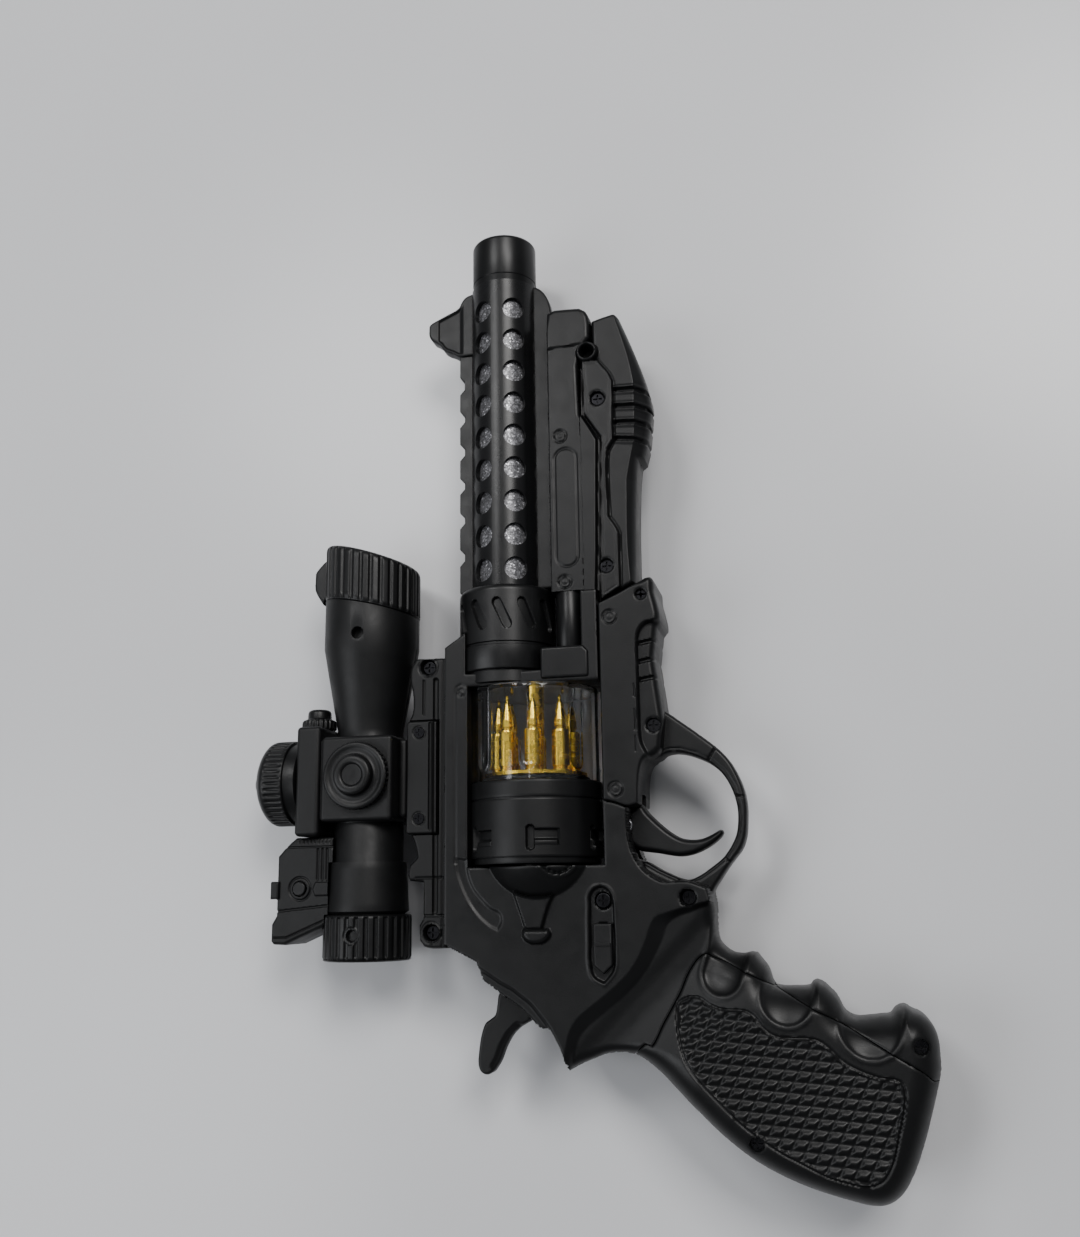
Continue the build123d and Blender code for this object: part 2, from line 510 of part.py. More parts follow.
save(light_housing_right, "light_housing_right")
with BuildPart() as light_housing_left:
    mirror(light_blank.part, about=Plane.XY.offset(AXIS_Z))
    pilot_holes(LIGHT_SCREWS, 5.5)
save(light_housing_left, "light_housing_left")

with BuildPart() as light_lens:
    extrude(disc(along_y(LIGHT_X, 174.05), 5.1), amount=1.8)
    fillet(light_lens.faces().sort_by(Axis.Y)[-1].edges(), 0.8)
save(light_lens, "light_lens")

with BuildPart() as light_led:
    extrude(disc(along_y(LIGHT_X, 161.0), 2.5), amount=7.0)
    fillet(light_led.faces().sort_by(Axis.Y)[-1].edges(), 2.2)
    extrude(disc(along_y(LIGHT_X, 159.0), 3.95), amount=2.0)
save(light_led, "light_led")

# ---------------------------------------------------------------------------
# crane: shroud rod and block in front of the drum
# ---------------------------------------------------------------------------
with BuildPart() as ejector_shroud:
    with BuildSketch(along_y(12.5, 68.1)):
        SlotOverall(20.6, 8.8, rotation=90)
    extrude(amount=18.2)
save(ejector_shroud, "ejector_shroud")

with BuildPart() as crane_block:
    extrude(outline(-13.2, (3.9, 57.6), (19.6, 57.6), (19.6, 66.0), (17.8, 67.95), (3.9, 67.95)), amount=26.4)
    ease(crane_block.edges(), 1.0, 0.8, 0.4)
save(crane_block, "crane_block")

# ---------------------------------------------------------------------------
# drum: clear front, black rear, dummy rounds, axle, gear, motor
# ---------------------------------------------------------------------------
with BuildPart() as clear_drum:
    with BuildSketch(along_y(DRUM_X, CLEAR_Y0 + 0.1)):
        Circle(DRUM_R - 0.4)
    extrude(amount=DRUM_Y1 - CLEAR_Y0 - 0.1)
    fillet(clear_drum.faces().sort_by(Axis.Y)[-1].edges(), 1.0)
    for k in range(8):
        a = math.radians(8 + 45 * k)
        cx, cz = 24.2 * math.sin(a), 24.2 * math.cos(a)
        with BuildPart(mode=Mode.PRIVATE) as flute:
            with BuildSketch(along_y(DRUM_X + cx, CLEAR_Y0 + 6.0, cz)):
                Circle(4.6)
            extrude(amount=40)
            with Locations((DRUM_X + cx - ORIGIN_X, CLEAR_Y0 + 6.0 - ORIGIN_Y, AXIS_Z + cz)):
                Sphere(4.6)
        add(flute.part, mode=Mode.SUBTRACT)
    extrude(disc(along_y(DRUM_X, CLEAR_Y0), 16.9), amount=DRUM_Y1 - CLEAR_Y0 - 2.0, mode=Mode.SUBTRACT)
    extrude(disc(along_y(DRUM_X, CLEAR_Y0), 3.2), amount=60, mode=Mode.SUBTRACT)
save(clear_drum, "clear_drum")

with BuildPart() as drum_body:
    with BuildSketch(along_y(DRUM_X, DRUM_Y0)):
        Circle(DRUM_R)
    extrude(amount=CLEAR_Y0 - DRUM_Y0)
    ease(drum_body.faces().sort_by(Axis.Y)[0].edges(), 0.6, 0.4)
    extrude(ring(along_y(DRUM_X, DRUM_Y0 - 1), DRUM_R + 1, DRUM_R - 0.9), amount=2.8, mode=Mode.SUBTRACT)
    extrude(ring(along_y(DRUM_X, DRUM_SEAM_Y), DRUM_R + 1, DRUM_R - 0.5), amount=0.5, mode=Mode.SUBTRACT)
    # bolt notches round the rear
    for k in range(6):
        a = 20 + 60 * k
        notch = Plane(origin=(DRUM_X - ORIGIN_X, 8.0 - ORIGIN_Y, AXIS_Z), x_dir=(0, 1, 0),
                      z_dir=(math.sin(math.radians(a)), 0, math.cos(math.radians(a)))).offset(DRUM_R - 1.6)
        with BuildSketch(notch):
            with Locations((0, -0.4)):
                Rectangle(4.8, 8.2)
            with Locations((0, 4.4)):
                SlotOverall(7.4, 2.6)
        extrude(amount=6, mode=Mode.SUBTRACT)
    # hub through the rear wall
    with BuildSketch(along_y(DRUM_X, -2.45)):
        Circle(6.0)
    extrude(amount=DRUM_Y0 + 3)
    # light weighting ring and axle bore
    extrude(ring(along_y(DRUM_X, 4.0), 18.0, 7.0), amount=18.0, mode=Mode.SUBTRACT)
    extrude(disc(along_y(DRUM_X, -5), 1.55), amount=60, mode=Mode.SUBTRACT)
    # seat ring for the clear part
    extrude(ring(along_y(DRUM_X, CLEAR_Y0 - 0.5), 16.8, 14.0), amount=2.5)
save(drum_body, "drum_body")

rounds = []
for k in range(8):
    a = math.radians(9.5 + 45 * k)
    cx, cz = 11.9 * math.sin(a), 11.9 * math.cos(a)
    with BuildPart() as dummy_round:
        with BuildSketch(level(0)):
            with BuildLine():
                Polyline((0, 0), (2.65, 0), (2.65, 0.8), (2.3, 1.1), (2.3, 1.5), (2.65, 1.8), (2.65, 12.6),
                         (2.5, 13.2), (2.1, 13.5), (1.55, 13.6), (1.55, 14.2), (1.8, 14.4), (1.8, 16.4), (1.45, 19.2),
                         (0.9, 21.7), (0.5, 22.9), (0.52, 23.8), (0.3, 24.4), (0, 24.6), close=True)
            make_face()
        revolve(axis=Axis((0, 0, AXIS_Z), (0, 1, 0)))
    placed = dummy_round.part.moved(Location((DRUM_X + cx - ORIGIN_X, CLEAR_Y0 + 3.15 - ORIGIN_Y, cz)))
    rounds.append(placed)
# the rounds stand on a tray round the axle tube
with BuildPart() as round_tray:
    extrude(disc(along_y(DRUM_X, CLEAR_Y0 + 2.1), 16.6), amount=1.0)
    extrude(disc(along_y(DRUM_X, CLEAR_Y0), 2.9), amount=DRUM_Y1 - CLEAR_Y0 + 0.1)
    extrude(disc(along_y(DRUM_X, CLEAR_Y0 - 5), 1.55), amount=60, mode=Mode.SUBTRACT)
save(round_tray, "round_tray")
save_group(rounds, "dummy_rounds")

with BuildPart() as drum_axle:
    extrude(disc(along_y(DRUM_X, -9.0), 1.5), amount=66.2)
save(drum_axle, "drum_axle")


def gear_points(teeth, rf, rp, ra, root, pitch, tip, phase):
    pts = []
    for k in range(teeth):
        c = math.radians(phase + 360.0 * k / teeth)
        for r, w, s in ((rf, root, -1), (rp, pitch, -1), (ra, tip, -1), (ra, tip, 1), (rp, pitch, 1), (rf, root, 1)):
            a = c + s * w / (2 * r)
            pts.append((r * math.cos(a), r * math.sin(a)))
    return pts


with BuildPart() as drum_gear:
    with BuildSketch(along_y(DRUM_X, -6.6)):
        with BuildLine():
            Polyline(*gear_points(GEAR_TEETH, 8.55, 9.6, 10.3, 1.55, 1.05, 0.5, 7.5), close=True)
        make_face()
        Circle(1.55, mode=Mode.SUBTRACT)
    extrude(amount=4.1)
save(drum_gear, "drum_gear")

with BuildPart() as motor_pinion:
    with BuildSketch(along_y(MOTOR_X, -6.6)):
        with BuildLine():
            Polyline(*gear_points(PINION_TEETH, 2.15, 3.2, 3.85, 1.2, 0.95, 0.45, 0.0), close=True)
        make_face()
    extrude(amount=4.1)
    extrude(disc(along_y(MOTOR_X, -14.0), 1.0), amount=8.0)
save(motor_pinion, "motor_pinion")

with BuildPart() as motor:
    with BuildSketch(along_y(MOTOR_X, -30.8)):
        Rectangle(15.6, 12.0)
    extrude(amount=22.6)
    fillet(motor.edges().filter_by(Axis.Y), 3.5)
    extrude(disc(along_y(MOTOR_X, -15.0), 1.05), amount=10, mode=Mode.SUBTRACT)
save(motor, "motor")

# ---------------------------------------------------------------------------
# trigger, hammer, pins, springs, switches, electronics
# ---------------------------------------------------------------------------
with BuildPart() as trigger:
    with BuildSketch(level(-3.5)):
        with BuildLine():
            Polyline(*W((28.0, 14.9), (31.5, 17.8), (33.0, 18.3), (37.5, 13.2), (42.6, 8.8), (48.1, 6.9),
                        (52.7, 7.3), (56.1, 9.3), (57.8, 9.6), (58.3, 8.6), (54.7, 5.2), (49.4, 2.6), (44.8, 1.8),
                        (38.7, 2.9), (35.0, 3.3), (31.0, 4.5), (28.0, 8.1)), close=True)
        make_face()
        with Locations(*W(TRIGGER_PIVOT)):
            Circle(3.4)
    extrude(amount=7.0)
    ease(trigger.edges().filter_by(Axis.Z, reverse=True).filter_by(GeomType.LINE), 1.0, 0.6, 0.3)
    extrude(disc(at_z(*TRIGGER_PIVOT, -5), 1.25), amount=10, mode=Mode.SUBTRACT)
save(trigger, "trigger")

with BuildPart() as hammer:
    with BuildSketch(level(-3.1)):
        with BuildLine():
            Polyline(*W((-5.5, -33.6), (-9.4, -36.0), (-13.4, -38.7), (-14.4, -44.6), (-17.6, -47.0), (-19.2, -50.8),
                        (-20.2, -59.0), (-19.3, -61.6), (-17.0, -62.4), (-14.8, -61.2), (-12.9, -58.5),
                        (-10.6, -52.7), (-7.1, -48.6), (-3.2, -46.3), (0.0, -40.0)), close=True)
        make_face()
        with Locations(*W(HAMMER_PIVOT)):
            Circle(4.2)
    extrude(amount=6.2)
    ease(hammer.edges().filter_by(Axis.Z, reverse=True).filter_by(GeomType.LINE), 0.8, 0.5, 0.3)
    extrude(disc(at_z(*HAMMER_PIVOT, -5), 1.55), amount=10, mode=Mode.SUBTRACT)
save(hammer, "hammer")

pins = []
for (x, y), r in ((TRIGGER_PIVOT, 1.19), (HAMMER_PIVOT, 1.49)):
    with BuildPart() as pin:
        extrude(disc(at_z(x, y, -8.8), r), amount=17.6)
        chamfer(pin.edges().filter_by(GeomType.CIRCLE), 0.25)
    pins.append(pin.part)
save_group(pins, "pivot_pins")

springs = []
for (x, y), r, z in ((TRIGGER_PIVOT, 2.4, 4.4), (HAMMER_PIVOT, 2.9, 4.1)):
    with BuildPart() as torsion:
        with BuildLine():
            coil = Helix(pitch=0.75, height=2.1, radius=r, center=(x - ORIGIN_X, y - ORIGIN_Y, AXIS_Z + z))
        with BuildSketch(Plane(origin=coil @ 0, z_dir=coil % 0)):
            Circle(0.3)
        sweep()
    springs.append(torsion.part)
save_group(springs, "torsion_springs")

with BuildPart() as microswitch:
    face, h = block(23.6, -8.2, -3.0, 30.0, -3.4, 3.0)
    extrude(face, amount=h)
    ease(microswitch.edges().filter_by(Axis.Z), 0.4)
    face, h = block(28.2, -3.5, -1.2, 29.8, -2.2, 1.2)
    extrude(face, amount=h)
save(microswitch, "microswitch")

with BuildPart() as power_slider:
    with BuildSketch(level(FRAME_H - 1.15)):
        with BuildLine():
            Polyline(*W((19.0, -17.6), (24.7, -17.6), (24.7, -29.6), (21.8, -32.2), (19.0, -29.6)), close=True)
        make_face()
    extrude(amount=1.9)
    ease(top_edges(power_slider, FRAME_H + 0.75), 0.6, 0.3)
    face, h = block(19.4, -24.0, FRAME_H + 0.2, 24.3, -23.2, FRAME_H + 1.3)
    extrude(face, amount=h)
    face, h = block(21.0, -28.0, 9.9, 22.8, -21.6, FRAME_H)
    extrude(face, amount=h)
save(power_slider, "power_slider")

with BuildPart() as slide_switch:
    face, h = block(19.0, -29.0, 6.6, 24.8, -17.0, 9.7)
    extrude(face, amount=h)
    ease(slide_switch.edges().filter_by(Axis.Z), 0.4)
save(slide_switch, "slide_switch")

with BuildPart() as circuit_board:
    extrude(outline(-1.0, (-24.0, -9.2), (-24.0, -22.9), (-17.0, -26.3), (-15.9, -29.4), (-3.4, -29.4), (-3.4, -9.2)),
            amount=1.6)
    for x0, y0, x1, y1, z1 in ((-17.0, -22.0, -10.0, -17.0, 2.2), (-21.5, -15.0, -18.5, -11.5, 4.0),
                               (-9.0, -27.5, -6.0, -25.9, 1.4), (-9.0, -24.0, -6.0, -22.4, 1.4),
                               (-14.0, -13.5, -11.0, -12.0, 1.4)):
        face, h = block(x0, y0, 0.5, x1, y1, z1)
        extrude(face, amount=h)
save(circuit_board, "circuit_board")

with BuildPart() as speaker:
    extrude(disc(at_z(*SPEAKER, -9.9), 9.0), amount=2.2)
    extrude(disc(at_z(*SPEAKER, -7.8), 6.6), amount=2.2)
    extrude(disc(at_z(*SPEAKER, -5.7), 5.2), amount=1.8)
    extrude(disc(at_z(*SPEAKER, -10.0), 7.0), amount=0.9, mode=Mode.SUBTRACT)
save(speaker, "speaker")

cells = []
cell_shift = {-1: 2.0, 0: 0.0, 1: 0.0}
for k in (-1, 0, 1):
    with BuildPart() as cell:
        with BuildSketch(along_bay(cell_shift[k] - CELL_L / 2, k * CELL_PITCH)):
            Circle(CELL_R)
        extrude(amount=CELL_L - 1.2)
        fillet(cell.edges().filter_by(GeomType.CIRCLE), 0.5)
        with BuildSketch(along_bay(cell_shift[k] + CELL_L / 2 - 1.3, k * CELL_PITCH)):
            Circle(1.9)
        extrude(amount=1.3)
    cells.append(cell.part)
save_group(cells, "battery_cells")

contacts = []
for k in (-1, 0, 1):
    with BuildPart() as plate:
        with BuildSketch(along_bay(25.3, k * CELL_PITCH)):
            Rectangle(8.0, 8.0)
        extrude(amount=0.5)
    contacts.append(plate.part)
    back = -23.6 if k < 0 else -25.8
    with BuildPart() as plate:
        with BuildSketch(along_bay(back, k * CELL_PITCH)):
            Rectangle(7.0, 8.0)
        extrude(amount=0.5)
    contacts.append(plate.part)
save_group(contacts, "battery_contacts")

coils = []
for k in (-1, 0, 1):
    start = -23.0 if k < 0 else -25.2
    room = (cell_shift[k] - CELL_L / 2) - start
    cx, cy = bay(start + 0.32, k * CELL_PITCH)
    with BuildPart() as coil_part:
        with BuildLine():
            turn = Helix(pitch=(room - 0.7) / 2.0, height=room - 0.7, radius=2.8,
                         center=(cx - ORIGIN_X, cy - ORIGIN_Y, AXIS_Z), direction=(BAY_D[0], BAY_D[1], 0))
        with BuildSketch(Plane(origin=turn @ 0, z_dir=turn % 0)):
            Circle(0.28)
        sweep()
    coils.append(coil_part.part)
save_group(coils, "battery_springs")

# ---------------------------------------------------------------------------
# scope
# ---------------------------------------------------------------------------
def tilted(y, lean=16.7):
    """plane across the scope, leaning forward on the sight side"""
    t = math.radians(lean)
    return Plane(origin=(SCOPE_X - ORIGIN_X, y - ORIGIN_Y, AXIS_Z), x_dir=(0, 0, 1), z_dir=(math.sin(t), math.cos(t), 0))


OBJ_FRONT, OBJ_BACK, BACK_LEAN = 105.4, 86.9, 12.4
with BuildPart() as scope_blank:
    with BuildSketch(level(0)):
        with BuildLine():
            Polyline(*W((SCOPE_X, 98.0), (SCOPE_X + 16.0, 98.0), (SCOPE_X + 16.0, 73.0), (SCOPE_X + 10.9, 45.0),
                        (SCOPE_X + 10.9, 14.6), (SCOPE_X + 11.3, 14.6), (SCOPE_X + 11.3, 2.3), (SCOPE_X + 12.5, 2.3),
                        (SCOPE_X + 13.3, -13.2), (SCOPE_X + 12.0, -14.1), (SCOPE_X + 12.0, -27.0), (SCOPE_X, -27.0)),
                     close=True)
        make_face()
    revolve(axis=Axis((SCOPE_X - ORIGIN_X, 0, AXIS_Z), (0, 1, 0)))
    # objective end leans with the ring
    with BuildPart(mode=Mode.PRIVATE) as front_cut:
        extrude(rect(tilted(OBJ_BACK, BACK_LEAN), 60, 60), amount=40)
    add(front_cut.part, mode=Mode.SUBTRACT)
    with BuildPart(mode=Mode.PRIVATE) as spigot:
        extrude(disc(along_y(SCOPE_X, 70.0), 13.9), amount=40)
        extrude(rect(tilted(OBJ_FRONT - 6.0), 60, 60), amount=60, mode=Mode.SUBTRACT)
    add(spigot.part)
    # turret block, its pedestal and the saddle under the top turret
    for x0, y0, x1, y1, zz in ((-69.9, 15.0, -45.3, 42.4, 13.8), (-45.4, 16.0, -42.3, 41.5, 8.0),
                               (-71.5, 15.4, -69.0, 42.0, 11.5), (-79.1, 10.7, -70.7, 46.4, 12.8)):
        with BuildPart(mode=Mode.PRIVATE) as turret:
            extrude(outline(-zz, (x0, y0), (x1, y0), (x1, y1), (x0, y1)), amount=2 * zz)
            ease(turret.edges(), 1.4, 1.0, 0.5)
        add(turret.part)
    # hollow
    with BuildSketch(level(0)):
        with BuildLine():
            Polyline(*W((SCOPE_X, 130.0), (SCOPE_X + 12.0, 130.0), (SCOPE_X + 12.0, 76.0), (SCOPE_X + 8.6, 46.0),
                        (SCOPE_X + 8.6, 2.0), (SCOPE_X + 10.0, -2.0), (SCOPE_X + 10.0, -40.0), (SCOPE_X, -40.0)),
                     close=True)
        make_face()
    revolve(axis=Axis((SCOPE_X - ORIGIN_X, 0, AXIS_Z), (0, 1, 0)), mode=Mode.SUBTRACT)
    extrude(disc(along_y(-76.6, 42.3), 1.55), amount=9.0, mode=Mode.SUBTRACT)
    # sockets for the two turrets
    extrude(disc(along_x(-79.5, 29.0), 4.05), amount=7.5, mode=Mode.SUBTRACT)
    extrude(disc(at_z(-56.9, 29.3, 11.0), 4.05), amount=9.0, mode=Mode.SUBTRACT)

with BuildPart() as scope_shell_right:
    add(scope_blank.part)
    face, h = block(-120, -60, -40, 0, 150, 0)
    extrude(face, amount=h, mode=Mode.SUBTRACT)
    for x, y, seat in SCOPE_SCREWS[:1]:
        extrude(disc(at_z(x, y, 12.9), 2.1), amount=8, mode=Mode.SUBTRACT)
save(scope_shell_right, "scope_shell_right")
with BuildPart() as scope_shell_left:
    add(scope_blank.part)
    face, h = block(-120, -60, 0, 0, 150, 40)
    extrude(face, amount=h, mode=Mode.SUBTRACT)
save(scope_shell_left, "scope_shell_left")

with BuildPart() as objective_ring:
    with BuildSketch(along_y(SCOPE_X, 70.0)):
        with BuildLine():
            pts = []
            for k in range(30):
                c = math.radians(12 * k)
                for r, w in ((15.4, -4.6), (16.2, -3.2), (16.2, 3.2), (15.4, 4.6)):
                    a = c + math.radians(w)
                    pts.append((r * math.sin(a), r * math.cos(a)))
            Polyline(*pts, close=True)
        make_face()
    extrude(amount=50)
    extrude(rect(tilted(OBJ_FRONT), 80, 80), amount=60, mode=Mode.SUBTRACT)
    extrude(rect(tilted(OBJ_BACK + 0.1, BACK_LEAN), 80, 80), amount=-60, mode=Mode.SUBTRACT)
    extrude(disc(along_y(SCOPE_X, 60.0), 13.95), amount=60, mode=Mode.SUBTRACT)
    # bead on the sight side
    extrude(outline(-4.0, (-72.9, 105.8), (-74.4, 105.4), (-78.2, 101.4), (-78.2, 94.6), (-74.6, 89.0),
                    (-72.9, 92.5)), amount=8.0)
    extrude(disc(along_y(SCOPE_X, 60.0), 13.95), amount=60, mode=Mode.SUBTRACT)
save(objective_ring, "objective_ring")

with BuildPart() as objective_lens:
    with BuildPart(mode=Mode.PRIVATE) as lens_slab:
        extrude(disc(along_y(SCOPE_X, 60.0), 11.9), amount=60)
        extrude(rect(tilted(OBJ_FRONT - 6.4), 80, 80), amount=60, mode=Mode.SUBTRACT)
        extrude(rect(tilted(OBJ_FRONT - 8.4), 80, 80), amount=-60, mode=Mode.SUBTRACT)
    add(lens_slab.part)
save(objective_lens, "objective_lens")

with BuildPart() as eyepiece_ring:
    with BuildSketch(along_y(SCOPE_X, -28.6)):
        with BuildLine():
            pts = []
            for k in range(28):
                c = math.radians(360 / 28 * k)
                for r, w in ((13.5, -4.9), (14.25, -3.3), (14.25, 3.3), (13.5, 4.9)):
                    a = c + math.radians(w)
                    pts.append((r * math.sin(a), r * math.cos(a)))
            Polyline(*pts, close=True)
        make_face()
    extrude(amount=14.4)
    extrude(disc(along_y(SCOPE_X, -40.0), 12.05), amount=40, mode=Mode.SUBTRACT)
    extrude(ring(along_y(SCOPE_X, -28.6), 13.0, 10.2), amount=1.4)
    extrude(disc(at_z(SCOPE_X, -20.6, 12.5), 1.9), amount=8, mode=Mode.SUBTRACT)
save(eyepiece_ring, "eyepiece_ring")

with BuildPart() as eyepiece_lens:
    extrude(disc(along_y(SCOPE_X, -26.0), 9.9), amount=2.0)
    fillet(eyepiece_lens.faces().sort_by(Axis.Y)[0].edges(), 1.0)
save(eyepiece_lens, "eyepiece_lens")


def knurl(r, depth, count):
    pts = []
    for k in range(count):
        for rr, f in ((r, -0.22), (r, 0.22), (r - depth, 0.36), (r - depth, 0.64)):
            a = 2 * math.pi * (k + f) / count
            pts.append((rr * math.cos(a), rr * math.sin(a)))
    return pts


with BuildPart() as side_turret_knob:
    with BuildSketch(at_z(-56.9, 29.3, 14.1)):
        with BuildLine():
            Polyline(*knurl(10.9, 0.5, 40), close=True)
        make_face()
    extrude(amount=2.8)
    extrude(disc(at_z(-56.9, 29.3, 16.8), 9.9), amount=0.6)
    extrude(disc(at_z(-56.9, 29.3, 17.3), 6.4), amount=2.2)
    fillet(side_turret_knob.faces().sort_by(Axis.Z)[-1].edges(), 0.6)
    extrude(disc(at_z(-56.9, 29.3, 18.7), 3.3), amount=3, mode=Mode.SUBTRACT)
    extrude(disc(at_z(-56.9, 29.3, 11.2), 4.0), amount=3.0)
save(side_turret_knob, "side_turret_knob")

with BuildPart() as top_turret_knob:
    with BuildSketch(along_x(-91.7, 29.0)):
        with BuildLine():
            Polyline(*knurl(14.2, 0.5, 44), close=True)
        make_face()
    extrude(amount=8.2)
    with BuildSketch(level(0)):
        with BuildLine():
            Polyline(*W((-99.1, 29.0), (-98.9, 30.6), (-98.1, 32.2), (-96.6, 34.6), (-94.6, 38.4), (-92.8, 41.8),
                        (-91.6, 43.0), (-91.6, 29.0)), close=True)
        make_face()
    revolve(axis=Axis((0, 29.0 - ORIGIN_Y, AXIS_Z), (1, 0, 0)))
    extrude(disc(along_x(-83.7, 29.0), 13.2), amount=4.3)
    extrude(disc(along_x(-79.6, 29.0), 4.0), amount=7.0)
save(top_turret_knob, "top_turret_knob")

with BuildPart() as windage_knob:
    with BuildSketch(along_y(-76.6, 46.6)):
        with BuildLine():
            Polyline(*knurl(5.8, 0.4, 22), close=True)
        make_face()
    extrude(amount=3.4)
    ease(windage_knob.faces().sort_by(Axis.Y)[-1].edges(), 0.3)
    extrude(disc(along_y(-76.6, 49.9), 3.1), amount=3.7)
    ease(windage_knob.faces().sort_by(Axis.Y)[-1].edges(), 0.6)
    extrude(disc(along_y(-76.6, 42.7), 1.5), amount=4.0)
save(windage_knob, "windage_knob")

# reflex sight behind the saddle
with BuildPart() as reflex_body:
    extrude(outline(-9.0, (-80.2, 10.5), (-66.6, 10.5), (-66.6, 7.0), (-65.6, 7.0), (-65.4, -12.3), (-69.6, -17.8),
                    (-82.9, -23.5), (-87.2, -23.3), (-87.9, -22.3), (-87.9, -16.9), (-86.3, -14.2), (-86.3, 4.6),
                    (-83.4, 7.6)), amount=18.0)
    ease(top_edges(reflex_body, 9.0), 1.0, 0.6, 0.3)
    extrude(outline(-10.2, (-88.2, -9.1), (-85.4, -9.1), (-85.4, -3.3), (-88.2, -3.3)), amount=20.4)
    # window through the hood
    extrude(outline(-6.8, (-84.3, -2.0), (-73.6, -2.0), (-73.6, -40.0), (-84.3, -40.0)), amount=13.6,
            mode=Mode.SUBTRACT)
    extrude(outline(-6.8, (-84.3, 5.0), (-75.8, 5.0), (-75.8, -3.0), (-84.3, -3.0)), amount=13.6, mode=Mode.SUBTRACT)
    extrude(disc(along_y(SCOPE_X, -40), 12.6), amount=60, mode=Mode.SUBTRACT)
    extrude(disc(along_y(SCOPE_X, -40), 14.5), amount=26.0, mode=Mode.SUBTRACT)
    extrude(disc(at_z(-78.0, -5.8, 8.4), 2.3), amount=3, mode=Mode.SUBTRACT)
    face, h = block(-70.0, 10.0, -20, -60.0, 14.0, 20)
    extrude(face, amount=h, mode=Mode.SUBTRACT)
    extrude(disc(along_y(SCOPE_X, -20), 13.55), amount=22.4, mode=Mode.SUBTRACT)
save(reflex_body, "reflex_body")

with BuildPart() as reflex_lens:
    extrude(outline(-6.75, (-84.2, -21.6), (-73.7, -17.0), (-73.7, -16.0), (-84.2, -20.6)), amount=13.5)
save(reflex_lens, "reflex_lens")

with BuildPart() as reflex_button:
    extrude(disc(at_z(-78.0, -5.8, 8.45), 2.2), amount=1.5)
    fillet(reflex_button.faces().sort_by(Axis.Z)[-1].edges(), 0.4)
save(reflex_button, "reflex_button")

# scope mount on the top strap
with BuildPart() as mount_base:
    extrude(outline(-8.0, (-39.6, 67.9), (-28.4, 67.7), (-28.4, -24.8), (-35.6, -24.8), (-37.9, -22.3), (-37.9, -17.4),
                    (-36.6, -15.7), (-36.6, -4.6), (-41.4, -3.8), (-41.8, 0.7), (-38.6, 3.5), (-41.0, 10.6),
                    (-42.2, 12.0), (-42.2, 47.0), (-40.8, 49.5), (-40.8, 57.0), (-41.6, 60.0), (-41.4, 64.6)), amount=16.0)
    ease(top_edges(mount_base, 8.0), 0.8, 0.5, 0.3)
    extrude(outline(6.6, (-33.6, 70.0), (-31.4, 70.0), (-31.4, -14.0), (-33.6, -14.0)), amount=3, mode=Mode.SUBTRACT)
    extrude(disc(along_y(SCOPE_X, -40), 15.4), amount=26.8, mode=Mode.SUBTRACT)
    extrude(disc(along_y(SCOPE_X, -20), 13.6), amount=23, mode=Mode.SUBTRACT)
    extrude(disc(along_y(SCOPE_X, 44), 16.3), amount=60, mode=Mode.SUBTRACT)
    extrude(outline(4.0, (-42.3, 10.3), (-31.2, 10.3), (-31.2, 47.1), (-42.3, 47.1)), amount=8, mode=Mode.SUBTRACT)
    for x, y, seat in MOUNT_SCREWS:
        extrude(disc(at_z(x, y, seat), HEAD_R + 0.1), amount=8, mode=Mode.SUBTRACT)
        extrude(disc(at_z(x, y, -6), SCREW_R + 0.02), amount=12, mode=Mode.SUBTRACT)
    for x, y in CLAMP_SCREWS:
        extrude(disc(at_z(x, y, -2), 0.82), amount=8, mode=Mode.SUBTRACT)
save(mount_base, "mount_base")

with BuildPart() as mount_clamp:
    extrude(outline(4.05, (-42.1, 10.5), (-31.35, 10.5), (-31.35, 46.9), (-42.1, 46.9)), amount=5.2)
    ease(top_edges(mount_clamp, 9.25), 0.7, 0.4)
    extrude(outline(8.4, (-34.4, 10.0), (-33.6, 10.0), (-33.6, 48.0), (-34.4, 48.0)), amount=3, mode=Mode.SUBTRACT)
    for x, y in CLAMP_SCREWS:
        extrude(disc(at_z(x, y, 0), 0.9), amount=20, mode=Mode.SUBTRACT)
        extrude(disc(at_z(x, y, 8.3), 1.75), amount=20, mode=Mode.SUBTRACT)
save(mount_clamp, "mount_clamp")

# ---------------------------------------------------------------------------
# screws
# ---------------------------------------------------------------------------
save_group([make_screw(x, y, seat, 5.9) for x, y, seat in FRAME_SCREWS] +
           [make_screw(x, y, seat, 5.4) for x, y, seat in LIGHT_SCREWS], "housing_screws")
save_group([make_screw(*COVER_SCREW, 5.9)], "cover_screw")
save_group([make_screw(x, y, seat, 5.5) for x, y, seat in MOUNT_SCREWS], "mount_screws")
small = []
for x, y in CLAMP_SCREWS:
    with BuildPart() as clamp_screw:
        extrude(disc(at_z(x, y, -1.9), 0.8), amount=10.4)
        extrude(disc(at_z(x, y, 8.32), 1.7), amount=1.0)
        extrude(rect(at_z(x, y, 9.0), 2.2, 0.45), amount=2, mode=Mode.SUBTRACT)
        extrude(rect(at_z(x, y, 9.0), 0.45, 2.2), amount=2, mode=Mode.SUBTRACT)
    small.append(clamp_screw.part)
save_group(small, "clamp_screws")

print(len(FILES), "nodes")
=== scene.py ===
import bpy, bmesh, json, math
import numpy as np
from mathutils import Matrix, Vector


